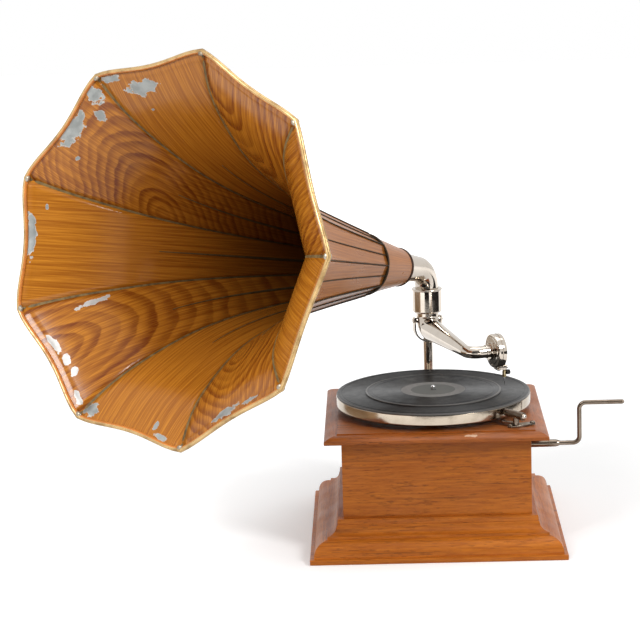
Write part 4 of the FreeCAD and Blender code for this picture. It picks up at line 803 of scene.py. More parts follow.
    def hand_over(self, name: str, node: str, body: str, finishes: Sequence[Finish],
                  smooth: float) -> bpy.types.Object:
        """Writes the mesh as it is into a new object; the arguments are those of finish."""
        for face in self.mesh.faces:
            face.smooth = True
        for edge in self.mesh.edges:
            edge.smooth = not edge.is_manifold or edge.calc_face_angle(0) < math.radians(smooth)
        data = self.data(name, [finish.material() for finish in finishes])
        piece = add_object(name, data)
        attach(piece, body)
        if node:
            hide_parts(node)
        log.info("%s: %d faces on %s", name, len(data.polygons), body)
        return piece


class Sweep:
    """Closed section, at first a unit circle, that is carried along a line by extrusion."""

    def __init__(self, form: Form, segments: int, turn: float = 0.0) -> None:
        """Starts with the first ring."""
        self.mesh = form.mesh
        ring = bmesh.ops.create_circle(self.mesh, segments=segments, radius=1.0, matrix=Matrix.Rotation(turn, 4, "Z"))
        self.spots = {vert: vert.co.copy() for vert in ring["verts"]}
        self.start = self.edges
        self.placed = False

    @property
    def edges(self) -> list[bmesh.types.BMEdge]:
        """Edges of the newest ring."""
        return list({edge for vert in self.spots for edge in vert.link_edges if edge.other_vert(vert) in self.spots})

    def put(self, place: Matrix, right: Vector, up: Vector) -> None:
        """Draws on to a place, with the circle stretched onto two directions."""
        if self.placed:
            fresh = new_verts(bmesh.ops.extrude_edge_only(self.mesh, edges=self.edges)["geom"])
            self.spots = {vert: next(self.spots[edge.other_vert(vert)] for edge in vert.link_edges
                                     if edge.other_vert(vert) in self.spots) for vert in fresh}
        self.placed = True
        for vert, spot in self.spots.items():
            vert.co = place @ (right * spot.x + up * spot.y)

    def cap(self) -> None:
        """Closes the newest ring."""
        bmesh.ops.contextual_create(self.mesh, geom=self.edges)

    def join(self) -> None:
        """Joins the last ring to the first."""
        bmesh.ops.bridge_loops(self.mesh, edges=self.start + self.edges)


class Tube(Sweep):
    """Round tube drawn like a pen stroke from a closed end: straight, tapered and bent stretches."""

    def __init__(self, form: Form, start: Vector, heading: Vector, radius: float, steps: int) -> None:
        """Starts with a closed ring across the heading."""
        super().__init__(form, steps)
        self.frame = facing(start, heading)
        self.draw(HOME, radius).cap()

    @property
    def at(self) -> Vector:
        """Middle of the newest ring."""
        return self.frame.to_translation()

    @property
    def heading(self) -> Vector:
        """Direction of the stroke."""
        return self.frame.to_3x3().col[2].copy()

    def draw(self, move: Matrix, radius: float) -> "Tube":
        """Carries the section on by a move, to a radius."""
        self.frame = move @ self.frame
        self.radius = radius
        self.put(self.frame, X * radius, Y * radius)
        return self

    def straight(self, length: float, radius: float | None = None) -> "Tube":
        """Draws on, to a new radius if one is given."""
        return self.draw(Matrix.Translation(self.heading * length), self.radius if radius is None else radius)

    def bend(self, heading: Vector, bend: float, steps: int = 14, radius: float | None = None) -> "Tube":
        """Turns to a new heading on an arc of the given radius, to a new tube radius if one is given."""
        ahead, first = self.heading, self.radius
        last = first if radius is None else radius
        axis = ahead.cross(heading).normalized()
        centre = Matrix.Translation(self.at + axis.cross(ahead) * bend)
        step = centre @ Matrix.Rotation(ahead.angle(heading) / steps, 4, axis) @ centre.inverted()
        for k in range(1, steps + 1):
            self.draw(step, first + (last - first) * k / steps)
        return self

    def corner(self, corner: Vector, heading: Vector, bend: float, radius: float | None = None,
               steps: int = 14) -> "Tube":
        """Draws straight towards a corner and round it onto a new heading."""
        back = bend * math.tan(self.heading.angle(heading) / 2)
        return self.straight((corner - self.at).length - back, radius).bend(heading, bend, steps)

    def hollow(self, wall: float, depth: float) -> None:
        """Ends the tube with an open bore of some depth."""
        self.straight(0.0, self.radius - wall).straight(-depth).cap()


@dataclass
class Cabinet:
    """Base board, mouldings, four case boards, lid moulding and motor board."""

    ovolo: Point = (16.3 * MM, 20.2 * MM)
    quirk: Point = (1.1 * MM, 3.2 * MM)
    cove: Point = (12.1 * MM, 12.0 * MM)
    cap: Point = (0.9 * MM, 7.2 * MM)
    bow_share: float = 0.2
    lid_edge: float = 4.65 * MM
    lid_lip: float = 2.4 * MM
    lid_bow: float = 1.0 * MM
    lid_soft: float = 0.8 * MM
    mitre: float = 0.22 * MM
    sharp: float = 60.0

    def build(self) -> None:
        """Makes every board and moulding."""
        self.boards()
        self.base_mouldings()
        self.lid_mouldings()

    def boards(self) -> None:
        """Boards with softened edges; those that run front to back take the other grain."""
        for node, slot, wood, soft in (("base_board", "base_wood", BASE_ACROSS, 1.3 * MM),
                                       ("case_front", "case_wood", CASE_ACROSS, 0.5 * MM),
                                       ("case_back", "case_wood", CASE_ACROSS, 0.5 * MM),
                                       ("case_left", "case_wood", CASE_DEEP, 0.3 * MM)):
            Form().block(*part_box(node), soft).finish(node, "cabinet", slot, wood)
        Form("case_right").finish("case_right", "cabinet", "case_wood", CASE_DEEP)
        Form("motor_board").soften_sharp(0.5 * MM, self.sharp).finish("motor_board", "cabinet", "top_wood", TOP_ACROSS)

    def mitred(self, outline: Sequence[Point]) -> Form:
        """Sweeps a section of (reach, height) points round four sides, mitred at the corners.

        Args:
            outline: The closed section.

        Returns:
            The four mouldings, front and back on material 0, the sides on material 1.
        """
        form = Form()
        for quarter in range(4):
            near = [form.mesh.verts.new((reach, -reach, height)) for reach, height in outline]
            end = form.mesh.faces.new(near)
            far = new_verts(bmesh.ops.extrude_face_region(form.mesh, geom=[end])["geom"])
            for vert in far:
                vert.co.y = vert.co.x
            bmesh.ops.transform(form.mesh, matrix=Matrix.Rotation(quarter * math.pi / 2, 4, "Z"), verts=near + far)
            for face in {face for vert in near + far for face in vert.link_faces}:
                face.material_index = 1 - quarter % 2
            edges = {edge for vert in near + far for edge in vert.link_edges}
            form.soften([edge for edge in edges if (edge.verts[0] in far) == (edge.verts[1] in far)], self.mitre, 1)
        return form

    def base_mouldings(self) -> None:
        """Ovolo, quirk, cove and cap between the base board and the case."""
        low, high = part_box("base_mouldings")
        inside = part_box("case_front")[1].x
        foot = (high.x, low.z)
        ovolo_top = (foot[0] - self.ovolo[0], foot[1] + self.ovolo[1])
        quirk_foot = (ovolo_top[0] - self.quirk[0], ovolo_top[1])
        quirk_top = (quirk_foot[0], quirk_foot[1] + self.quirk[1])
        cove_top = (quirk_top[0] - self.cove[0], quirk_top[1] + self.cove[1])
        cap = cove_top[0] - self.cap[0]
        soft = 0.3 * self.cap[1]
        outline = [foot, *bowed(foot, ovolo_top, -self.bow_share * math.hypot(*self.ovolo), 12), quirk_foot, quirk_top,
                   *bowed(quirk_top, cove_top, self.bow_share * math.hypot(*self.cove), 10), (cap, cove_top[1]),
                   (cap, high.z - soft), (cap - soft / 3, high.z), (inside, high.z), (inside, low.z)]
        self.mitred(outline).finish("base_mouldings", "cabinet", "base_wood", BASE_ACROSS, BASE_DEEP)

    def lid_mouldings(self) -> None:
        """Thin-edged moulding with a rounded bevel round the motor board."""
        low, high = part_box("top_mouldings")
        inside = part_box("motor_board")[1].x
        soft = self.lid_soft
        edge = low.z + self.lid_edge
        bevel = (high.x - soft, edge + 0.3 * soft)
        outline = [(high.x - soft, low.z), (high.x, low.z + soft), (high.x, edge - soft), bevel,
                   *bowed(bevel, (inside + self.lid_lip, high.z), -self.lid_bow, 8), (inside, high.z), (inside, low.z)]
        self.mitred(outline).finish("top_mouldings", "cabinet", "top_wood", TOP_ACROSS, TOP_DEEP,
                                    name="lid_mouldings_finished")


@dataclass
class Column:
    """Bracket, post and collar behind the case."""

    radius: float = 20.0 * MM
    bead: float = 0.9 * MM
    wall: float = 1.9 * MM
    bore: float = 15.8 * MM
    ledge: float = 13.6 * MM
    ledge_low: float = 272.0 * MM
    ledge_high: float = 275.0 * MM
    post_radius: float = 6.5 * MM
    shoulder: float = 2.3 * MM
    pin_radius: float = 2.2 * MM
    soft: float = 0.5 * MM

    def build(self) -> None:
        """Makes the fixed pieces behind the case."""
        Form("back_bracket").soften_sharp(1.2 * MM, segments=3).finish("back_bracket", "cabinet", "cast_bracket",
                                                                       CASTING)
        self.collar()
        self.post()

    def collar(self) -> None:
        """Nickel ring with a rolled top, a chamfered foot and the ledge inside."""
        low, high = levels("horn_collar")
        bead, radius, lower = self.bead, self.radius, self.radius - self.wall
        outline = [(lower, low), (radius - 1.4 * bead, low), (radius - 0.3 * bead, low + 1.6 * bead),
                   (radius, low + 2.4 * bead), (radius, high - 3.4 * bead),
                   *oval((radius, high - 1.6 * bead), bead, 1.5 * bead, -90, 90, 9),
                   (self.bore + 0.4 * bead, high), (self.bore, high - 0.5 * bead), (self.bore, self.ledge_high),
                   (self.ledge, self.ledge_high), (self.ledge, self.ledge_low), (lower, self.ledge_low)]
        place = Matrix.Translation(under("horn_swing"))
        Form().spin(outline, place).finish("horn_collar", "cabinet", "nickel", NICKEL)

    def post(self) -> None:
        """Upright with a shoulder and the yoke's pin."""
        low, high = levels("tonearm_post")
        shoulder, soft, post, pin = high - self.shoulder, self.soft, self.post_radius, self.pin_radius
        outline = [(0, low), (post, low), (post, shoulder - soft), (post - soft, shoulder), (pin, shoulder),
                   (pin, high - soft), (pin - soft, high), (0, high)]
        place = Matrix.Translation(under("tonearm_swing"))
        Form().spin(outline, place, 48).finish("tonearm_post", "cabinet", "nickel", NICKEL)


@dataclass
class Horn:
    """Nine painted panels with their folds, rim, throat and elbow."""

    count: int = 9
    first_seam: float = 82.56
    axis_height: float = 317.8 * MM
    stations: tuple[Point, ...] = ((155.9, 39.6), (260.0, 60.5), (370.0, 87.5), (450.0, 120.5), (504.0, 156.0),
                                   (545.0, 193.5), (571.2, 235.4))
    flare_rows: int = 240
    slope_step: float = 0.004
    bead: float = 3.0 * MM
    rim_steps: int = 14
    rim_sides: int = 14
    least_mitre: float = 0.7
    inward: float = -0.25
    hollow_in: float = 3.0 * MM
    hollow_back: float = 2.2 * MM
    hollow_end: float = 120.0 * MM
    hollow_turn: float = 2.75
    solder_in: float = 1.6 * MM
    solder_back: float = 0.2 * MM
    solder_lean: float = 0.6
    solder_half: Colour = (4.8 * MM, 5.2 * MM, 3.1 * MM)
    sheet: float = 1.0 * MM
    gap: float = 0.3 * MM
    seam_width: float = 5.2 * MM
    seam_taper: float = 2.2 * MM
    rib_width: float = 1.5 * MM
    buried: float = 0.4 * MM
    seam_inside: float = 0.5 * MM
    seam_neck: float = 3.0 * MM
    seam_mouth: float = 0.8 * MM
    seam_stop: float = 0.995
    seam_steps: int = 60
    strip_sides: int = 8
    fold_end: float = 443.0 * MM
    fold_width: float = 3.4 * MM
    fold_inside: float = 0.6 * MM
    fold_outside: float = 1.5 * MM
    fold_left: float = 0.3
    fold_fade: float = 1.2
    fold_steps: int = 44
    fold_search: int = 400
    ridge_place: float = 9.5 * MM
    ridge_height: float = 1.3 * MM
    ridge_width: float = 2.2 * MM
    throat: float = 72.3 * MM
    throat_radius: float = 25.1 * MM
    throat_bead: float = 1.7 * MM
    throat_roll: Point = (71.1127, -92.6873)
    ring_width: float = 3.0 * MM
    ring_out: float = 1.9 * MM
    ring_round: float = 1.5 * MM
    bush_length: float = 14.0 * MM
    bush_slide: float = 0.05 * MM
    bush_seat: float = 0.02 * MM
    elbow_radius: float = 15.75 * MM
    elbow_knee: float = 17.0 * MM
    elbow_flare: float = 21.4 * MM
    elbow_end: float = 19.2 * MM
    elbow_bend: float = 33.0 * MM
    elbow_wall: float = 1.5 * MM
    elbow_bore: float = 30.0 * MM
    spigot: float = 25.0 * MM
    rows: int = 72
    columns: int = 16
    crowding: float = 1.5
    neck: float = field(init=False)
    neck_radius: float = field(init=False)
    place: Matrix = field(init=False)
    half: float = field(init=False)
    flare: np.ndarray = field(init=False)

    def __post_init__(self) -> None:
        """Sets up the horn's own frame and the smooth line of its flare."""
        axis = joint_axis("horn_pull_off")
        self.place = facing(under("horn_swing") + Z * self.axis_height, axis, Z.cross(axis))
        self.half = math.pi / self.count
        self.neck, self.neck_radius = (value * MM for value in self.stations[0])
        self.flare = self.smooth_line(np.array(self.stations) * MM, self.flare_rows)

    @staticmethod
    def smooth_line(points: np.ndarray, count: int) -> np.ndarray:
        """Natural cubic spline through points, spaced by their chords.

        Args:
            points: Rows of distance along the axis and radius.
            count: Number of rows wanted.

        Returns:
            Rows of distance, radius and length along the sheet from the first point.
        """
        def lengths(line: np.ndarray) -> np.ndarray:
            """Length of a line up to each of its points."""
            return np.concatenate([[0], np.cumsum(np.hypot(*np.diff(line, axis=0).T))])
        chord = lengths(points)
        step = np.diff(chord)
        size = len(points)
        system = np.eye(size)
        target = np.zeros((size, 2))
        for k in range(1, size - 1):
            system[k, k - 1:k + 2] = step[k - 1], 2 * (step[k - 1] + step[k]), step[k]
            slopes = np.diff(points[k - 1:k + 2], axis=0) / step[k - 1:k + 1, None]
            target[k] = 6 * (slopes[1] - slopes[0])
        curve = np.linalg.solve(system, target)
        rows = []
        for value in np.linspace(0, chord[-1], count):
            k = min(int(np.searchsorted(chord, value, side="right")) - 1, size - 2)
            low, high = value - chord[k], chord[k + 1] - value
            rows.append((curve[k] * high**3 + curve[k + 1] * low**3) / (6 * step[k])
                        + (points[k] / step[k] - curve[k] * step[k] / 6) * high
                        + (points[k + 1] / step[k] - curve[k + 1] * step[k] / 6) * low)
        return np.column_stack([rows, lengths(np.array(rows))])

    def at(self, share: float) -> tuple[float, float, float]:
        """Distance along the axis, seam radius and sheet length from the rim, at a share from mouth to neck."""
        length = (1 - share) * self.flare[-1, 2]
        along, radius = (float(np.interp(length, self.flare[:, 2], self.flare[:, k])) for k in (0, 1))
        return along, radius, self.flare[-1, 2] - length

    def outwards(self, share: float) -> Vector:
        """Normal of the sheet in the plane of a seam, away from the axis."""
        here = self.at(max(share - self.slope_step, 0.0))
        there = self.at(min(share + self.slope_step, 1.0))
        return Vector((here[0] - there[0], 0, there[1] - here[1])).normalized()

    def build(self) -> None:
        """Makes every piece of the horn."""
        for number in range(self.count):
            self.panel(number)
        self.seams()
        self.folds()
        self.rim()
        self.corners()
        self.throat_pieces()
        self.elbow()

    def scallop(self, across: float) -> float:
        """Share of the rim's hollow at a place across a panel, a little below nothing beside the corners."""
        return (1 - across**2) * (1 - self.hollow_turn * across**2)

    def turned(self, number: float) -> Matrix:
        """The horn's frame turned to a seam, with halves for the middles of panels."""
        return self.place @ Matrix.Rotation(math.radians(self.first_seam) + 2 * self.half * number, 4, "Z")

    def panel(self, number: int) -> None:
        """One sheet, bowed a little towards its rim, with a pressed line beside the bead."""
        form = Form()
        mesh = form.mesh
        layer = mesh.loops.layers.uv.new("Sheet")
        place = self.turned(number + 0.5)
        spread = {}
        for vert in bmesh.ops.create_grid(mesh, x_segments=self.columns, y_segments=self.rows, size=1.0)["verts"]:
            across = vert.co.x
            along, radius, length = self.at(((vert.co.y + 1) / 2) ** self.crowding)
            bow = self.scallop(across) * max(0.0, 1 - length / self.hollow_end) ** 2
            flat = radius * math.cos(self.half) - bow * self.hollow_in
            flat -= self.ridge_height * math.exp(-((length - self.ridge_place) / self.ridge_width) ** 2)
            side = across * (radius * math.sin(self.half) - self.gap)
            vert.co = place @ Vector((flat, side, along - bow * self.hollow_back))
            spread[vert] = (side, length)
        for face in mesh.faces:
            for loop in face.loops:
                loop[layer].uv = spread[loop.vert]
        mesh.normal_update()
        if next(iter(mesh.faces)).normal.dot(place.to_3x3().col[0]) > 0:
            bmesh.ops.reverse_faces(mesh, faces=mesh.faces)
        node = f"horn_panel_{number + 1}"
        piece = form.hand_over(f"{node}_painted", node, "horn", (HORN_PAINTS[number], HORN_BACK), 40.0)
        wall = piece.modifiers.new("sheet", "SOLIDIFY")
        wall.thickness = self.sheet
        wall.offset = -1.0
        wall.material_offset = wall.material_offset_rim = 1

    def strips(self, node: str, name: str, offset: float, stop: float, steps: int, flat: float,
               *sections: Callable[[float], tuple[float, float, float]]) -> None:
        """Sweeps small sections along the flare, once for each panel, as one piece.

        Args:
            node: Frame node that they stand for.
            name: The piece's name.
            offset: Nothing for strips on the seams, a half for strips up the middles of the panels.
            stop: Share of the way from the neck to the mouth where they end.
            steps: Stretches along their length.
            flat: Share of the seams' radius that they run at.
            sections: Each gives a half width and two heights over the sheet at a share from the mouth.
        """
        form = Form()
        for number in range(self.count):
            place = self.turned(number + offset)
            for section in sections:
                sweep = Sweep(form, self.strip_sides, math.pi / self.strip_sides)
                for k in range(steps + 1):
                    share = 1.0 - stop * k / steps
                    half_width, low, high = section(share)
                    along, radius, _ = self.at(share)
                    out = self.outwards(share)
                    spot = Vector((radius * flat, 0, along)) + out * (high + low) / 2
                    sweep.put(place @ Matrix.Translation(spot), Y * half_width, out * (high - low) / 2)
                    if k in (0, steps):
                        sweep.cap()
        form.finish(node, "horn", "seam_metal", SEAM, smooth=50, name=name)

    def seams(self) -> None:
        """Folded seams between the panels: a flat strip inside and a standing rib behind."""
        def inside(share: float) -> tuple[float, float, float]:
            """Section inside the horn."""
            return (self.seam_width - share * self.seam_taper) / 2, -self.seam_inside, self.buried

        def behind(share: float) -> tuple[float, float, float]:
            """Section behind the horn."""
            return self.rib_width / 2, self.buried, self.seam_mouth + share * (self.seam_neck - self.seam_mouth)
        self.strips("horn_seam_ribs", "horn_seams_finished", 0.0, self.seam_stop, self.seam_steps, 1.0,
                    inside, behind)

    def folds(self) -> None:
        """Folds up the middle of each panel that fade out on the way to the mouth."""
        shares = (k / self.fold_search for k in range(self.fold_search))
        stop = next(share for share in shares if self.at(1 - share)[0] > self.fold_end)

        def fade(share: float) -> float:
            """How much of the fold is left at a share from the mouth."""
            left = self.fold_left
            return min(1.0, max(left, left + self.fold_fade * (stop - (1 - share)) / stop))

        def inside(share: float) -> tuple[float, float, float]:
            """Section inside the horn."""
            return self.fold_width / 2 * fade(share), -self.fold_inside, self.buried

        def behind(share: float) -> tuple[float, float, float]:
            """Section behind the horn."""
            return self.rib_width / 2, self.buried, self.sheet + self.fold_outside * fade(share)
        self.strips("horn_mid_ribs", "horn_folds_finished", 0.5, stop, self.fold_steps, math.cos(self.half),
                    inside, behind)

    def rim(self) -> None:
        """Rolled bead round the scalloped mouth, gilt outside and painted inside."""
        mouth, radius, _ = self.at(0.0)
        home = self.place.inverted()
        points = []
        for number in range(self.count):
            turn = home @ self.turned(number + 0.5)
            for across in np.linspace(-1, 1, self.rim_steps, endpoint=False):
                bow = self.scallop(across)
                points.append(turn @ Vector((radius * math.cos(self.half) - bow * self.hollow_in,
                                             across * radius * math.sin(self.half), mouth - bow * self.hollow_back)))
        form = Form()
        sweep = Sweep(form, self.rim_sides)
        for before, point, after in zip(points[-1:] + points, points, points[1:] + points[:1]):
            ahead = (after - point).normalized()
            tangent = (ahead + (point - before).normalized()).normalized()
            out = Vector((point.x, point.y, 0)).normalized()
            out = (out - tangent * out.dot(tangent)).normalized()
            widen = 1 / max(self.least_mitre, ahead.dot(tangent))
            sweep.put(self.place @ Matrix.Translation(point), out * widen * self.bead, tangent.cross(out) * self.bead)
        sweep.join()
        bmesh.ops.recalc_face_normals(form.mesh, faces=form.mesh.faces)

        def inside(face: bmesh.types.BMFace) -> bool:
            """Whether a face of the bead looks into the horn."""
            out = (home @ face.calc_center_median()).xy.normalized()
            return (home.to_3x3() @ face.normal).xy.dot(out) < self.inward
        form.mark(inside).finish("horn_rim_beads", "horn", "gilt_rim", GILT, LIP_PAINT, smooth=60,
                                 name="horn_rim_finished")

    def corners(self) -> None:
        """Smear of solder over each corner of the rim."""
        form = Form()
        mouth, radius, _ = self.at(0.0)
        for number in range(self.count):
            spot = self.turned(number) @ Matrix.Translation((radius - self.solder_in, 0, mouth - self.solder_back))
            shape = spot @ Matrix.Rotation(self.solder_lean, 4, "Y") @ Matrix.Diagonal((*self.solder_half, 1))
            bmesh.ops.create_uvsphere(form.mesh, u_segments=20, v_segments=12, radius=1.0, matrix=shape)
        form.finish("", "horn", "gilt_rim", SOLDER, smooth=80, name="horn_corner_solder")

    def throat_pieces(self) -> None:
        """Neck ring, plain cone with its rolled end, and the bush that slides on the elbow."""
        wall, bead, neck, throat = self.sheet, self.throat_bead, self.neck_radius, self.throat_radius
        end, start = self.neck - self.ring_width, self.throat
        inner = neck * math.cos(self.half) - wall
        middle = (neck + self.ring_out - self.ring_round, (end + self.neck) / 2)
        outline = [(inner, end), *oval(middle, self.ring_round, self.ring_width / 2, -90, 90, 9), (inner, self.neck)]
        Form().spin(outline, self.place).finish("horn_neck_ring", "horn", "seam_metal", SEAM, smooth=50)
        outline = [(throat - wall, start), (neck - wall, end), (neck, end), (throat + 0.4 * MM, start + 2.2 * bead),
                   *oval((throat - wall / 2, start), bead, bead, *self.throat_roll, 8)]
        home = self.place.inverted()

        def rolled(face: bmesh.types.BMFace) -> bool:
            """Whether a face of the cone belongs to its rolled end."""
            spot = home @ face.calc_center_median()
            return abs(spot.z - start) < 1.6 * bead and spot.xy.length > throat - wall
        cone = Form().spin(outline, self.place).wrap("Sheet", lambda spot, angle: (angle * neck, spot.z), self.place)
        cone.mark(rolled).finish("horn_throat_cone", "horn", "horn_paint", HORN_BACK, DARK_BUSH,
                                 name="horn_throat_finished")
        low, high = self.elbow_end + self.bush_slide, throat - wall - self.bush_seat
        far = start + self.bush_length
        wider = high + (neck - throat) / (end - start) * self.bush_length
        bush = Form().spin([(low, start), (high, start), (wider, far), (low, far)], self.place)
        bush.finish("horn_throat_bush", "horn", "dark_bush", DARK_BUSH, name="horn_bush_finished")

    def elbow(self) -> None:
        """Hollow nickel elbow from the collar into the horn's throat."""
        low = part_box("horn_elbow")[0].z
        centre, axis = self.place.to_translation(), self.place.to_3x3().col[2]
        form = Form()
        tube = Tube(form, Vector((centre.x, centre.y, low)), Z, self.elbow_radius, 64)
        back = self.elbow_bend * math.tan(Z.angle(axis) / 2)
        tube.straight(centre.z - back - low).bend(axis, self.elbow_bend, 24, self.elbow_knee)
        tube.straight(self.throat - self.gap - (tube.at - centre).length, self.elbow_flare)
        tube.straight(0.0, self.elbow_end).straight(self.spigot + self.gap).hollow(self.elbow_wall, self.elbow_bore)
        form.finish("horn_elbow", "horn_elbow", "nickel", NICKEL, smooth=50)


@dataclass
class ToneArm:
    """Tapered arm in its yoke, soundbox, needle and thumbscrew."""

    radius: float = 15.3 * MM
    top: float = 266.0 * MM
    axis_height: float = 237.5 * MM
    bend: float = 17.5 * MM
    wall: float = 1.3 * MM
    bore_depth: float = 12.0 * MM
    pipe_radius: float = 8.0 * MM
    pipe_bend: float = 14.0 * MM
    pipe_length: float = 32.0 * MM
    pipe_inside: float = 2.2 * MM
    ring_place: float = 5.5 * MM
    ring_width: float = 2.6 * MM
    yoke_gap: float = 2.6 * MM
    strap: float = 2.0 * MM
    screw_radius: float = 3.4 * MM
    screw_head: float = 2.0 * MM
    box_radius: float = 22.3 * MM
    box_depth: float = 13.0 * MM
    box_wall: float = 2.2 * MM
    boss_radius: float = 11.0 * MM
    boss: float = 4.0 * MM
    sheet_depth: float = 8.0 * MM
    sheet_thickness: float = 0.8 * MM
    reach: float = 18.0 * MM
    bar: float = 2.6 * MM
    chuck_radius: float = 2.6 * MM
    chuck_length: float = 13.0 * MM
    chuck_drop: float = 24.0 * MM
    needle_radius: float = 0.75 * MM
    knob: float = 1.9 * MM
    head_radius: float = 3.2 * MM
    head_length: float = 4.5 * MM
    teeth: int = 18

    column: ClassVar[Vector] = under("tonearm_swing")
    pivot: ClassVar[Vector] = joint_place("tonearm_lift")
    across: ClassVar[Vector] = joint_axis("tonearm_lift")
    box_place: ClassVar[Vector] = joint_place("soundbox_turn")
    out: ClassVar[Vector] = joint_axis("soundbox_turn")
    box: ClassVar[Matrix] = facing(box_place, out, Z)

    def build(self) -> None:
        """Makes the arm and all that hangs on it."""
        self.arm()
        self.yoke()
        self.soundbox()
        self.pivot_block()
        self.stylus()
        self.needle_pieces()

    def arm(self) -> None:
        """Tube from the collar, round its knee, down the taper and round to the soundbox."""
        crossing = self.column + Z * self.axis_height
        corner = self.box_place - self.out * self.pipe_length
        form = Form()
        tube = Tube(form, self.column + Z * self.top, -Z, self.radius, 64)
        tube.corner(crossing, (corner - crossing).normalized(), self.bend, steps=20)
        tube.corner(corner, self.out, self.pipe_bend, self.pipe_radius, 16)
        tube.straight((self.box_place + self.out * self.pipe_inside - tube.at).length)
        tube.hollow(self.wall, self.bore_depth)
        soft = 0.3 * MM
        for side in (-self.across, self.across):
            form.rod(self.screw_radius, self.pivot + side * (self.radius - 2 * self.wall),
                     self.pivot + side * (self.radius + self.yoke_gap - soft), soft)
        ring = facing(self.box_place - self.out * (self.boss + self.ring_place), self.out)
        inner, lip, wide = self.pipe_radius - 0.2 * MM, self.pipe_radius + 0.9 * MM, self.ring_width
        form.spin([(inner, 0), (lip - soft, 0), (lip, 0.4 * MM), (lip, wide - 0.4 * MM), (lip - soft, wide),
                   (inner, wide)], ring, 48)
        form.finish("tonearm", "tonearm", "nickel", NICKEL, smooth=50)

    def yoke(self) -> None:
        """Thin strap under the knee and its two pivot screws with slotted heads."""
        Form("tonearm_yoke").soften_sharp(0.4 * MM).finish("tonearm_yoke", "yoke", "nickel", NICKEL, smooth=40)
        screws = Form()
        face = self.radius + self.yoke_gap + self.strap
        for side in (-self.across, self.across):
            screws.rod(0.58 * self.screw_radius, self.pivot + side * (self.radius - 2 * self.wall),
                       self.pivot + side * (face + 0.2 * MM))
            screws.slotted_head(facing(self.pivot + side * face, side), self.screw_radius, self.screw_head)
        screws.finish("yoke_screws", "yoke", "nickel", NICKEL)

    def soundbox(self) -> None:
        """Turned case with a stepped back and rim screws, and the mica sheet."""
        radius, depth, boss = self.box_radius, self.box_depth, self.boss_radius
        inside, bore = radius - self.box_wall, self.pipe_radius + 0.05 * MM
        seat, floor, step = inside - 2 * MM, self.box_wall + 1 * MM, 0.7 * MM
        low, high = self.sheet_depth, self.sheet_depth + self.sheet_thickness
        form = Form()
        form.spin([(bore, -self.boss), (boss - 0.8 * MM, -self.boss), (boss, -self.boss + 0.8 * MM), (boss, -0.5 * MM),
                   (boss + 1.2 * MM, 0), (radius - 5 * MM, 0), (radius - 4.4 * MM, step), (radius - 1.6 * MM, step),
                   (radius - 0.5 * MM, 1.1 * MM), (radius, 2.0 * MM), (radius, 0.44 * depth),
                   (radius - 0.5 * MM, 0.47 * depth), (radius - 0.5 * MM, 0.53 * depth), (radius, 0.56 * depth),
                   (radius, depth - 1.4 * MM), (radius - 0.4 * MM, depth - 0.4 * MM), (radius - 1.4 * MM, depth),
                   (inside - 1 * MM, depth), (inside, depth - 2 * MM), (inside, low), (seat, low), (seat, floor),
                   (bore, floor)], self.box)
        for k in range(3):
            spot = Matrix.Rotation(2 * math.pi * (k + 0.5) / 3, 4, "Z")
            spot @= Matrix.Translation((radius - 3.2 * MM, 0, step)) @ Matrix.Rotation(math.pi, 4, "X")
            form.slotted_head(self.box @ spot, 1.3 * MM, 0.8 * MM)
        form.finish("soundbox_case", "soundbox", "nickel", NICKEL, smooth=40)
        edge = inside - 0.02 * MM
        sheet = Form().spin([(0, low), (edge, low), (edge, high), (0, high)], self.box, 72)
        sheet.finish("diaphragm", "soundbox", "mica", MICA)

    def pivot_block(self) -> None:
        """Block under the soundbox's edge that carries the bar, with its three round screw heads."""
        box, foot, front = self.box, -self.box_radius, self.reach + self.bar
        soft, steps = 0.6 * MM, 24
        form = Form().block(Vector((foot - 4.4 * MM, -3.4 * MM, 0.5 * self.box_depth)),
                            Vector((foot + 1.4 * MM, 3.4 * MM, front)), 0.7 * MM, box)
        middle = Vector((foot - 2.4 * MM, 0, 0.62 * self.box_depth))
        for side in (-Y, Y):
            form.rod(self.knob, box @ (middle + side * 3 * MM), box @ (middle + side * 7 * MM), soft, steps)
        tip = Vector((foot - 1.2 * MM, 0, front))
        form.rod(self.knob, box @ (tip - Z * 0.4 * MM), box @ (tip + Z * 2.6 * MM), soft, steps)
        form.finish("", "soundbox", "nickel", NICKEL, smooth=40, name="stylus_pivot")

    def stylus(self) -> None:
        """Bar on its shoe and the needle chuck."""
        box, half, reach, needle = self.box, self.bar / 2, self.reach, self.needle_radius
        low = 1 * MM - self.box_radius
        form = Form().rod(half, box @ (Z * (self.sheet_depth + self.sheet_thickness)), box @ (Z * reach), 0.2 * MM, 24)
        form.block(Vector((-self.chuck_drop, -half, reach - half)), Vector((half, half, reach + half)), 0.3 * MM, box)
        form.block(Vector((low, -self.bar, self.box_depth)), Vector((low + 4 * MM, self.bar, reach)), 0.5 * MM, box)
        chuck = facing(box @ Vector((-self.chuck_drop, 0, reach)), -box.to_3x3().col[0])
        length, radius = self.chuck_length, self.chuck_radius
        waist, well = radius - 0.5 * MM, length - 2 * MM
        form.spin([(0, 0), (radius - 0.3 * MM, 0), (radius, 0.4 * MM), (radius, 0.26 * length), (waist, 0.30 * length),
                   (waist, 0.36 * length), (radius, 0.40 * length), (radius, length - 0.8 * MM),
                   (radius - 0.8 * MM, length), (needle, length), (needle, well), (0, well)], chuck, 32)
        form.finish("stylus_bar", "soundbox", "needle_brass", CHUCK_BRASS)

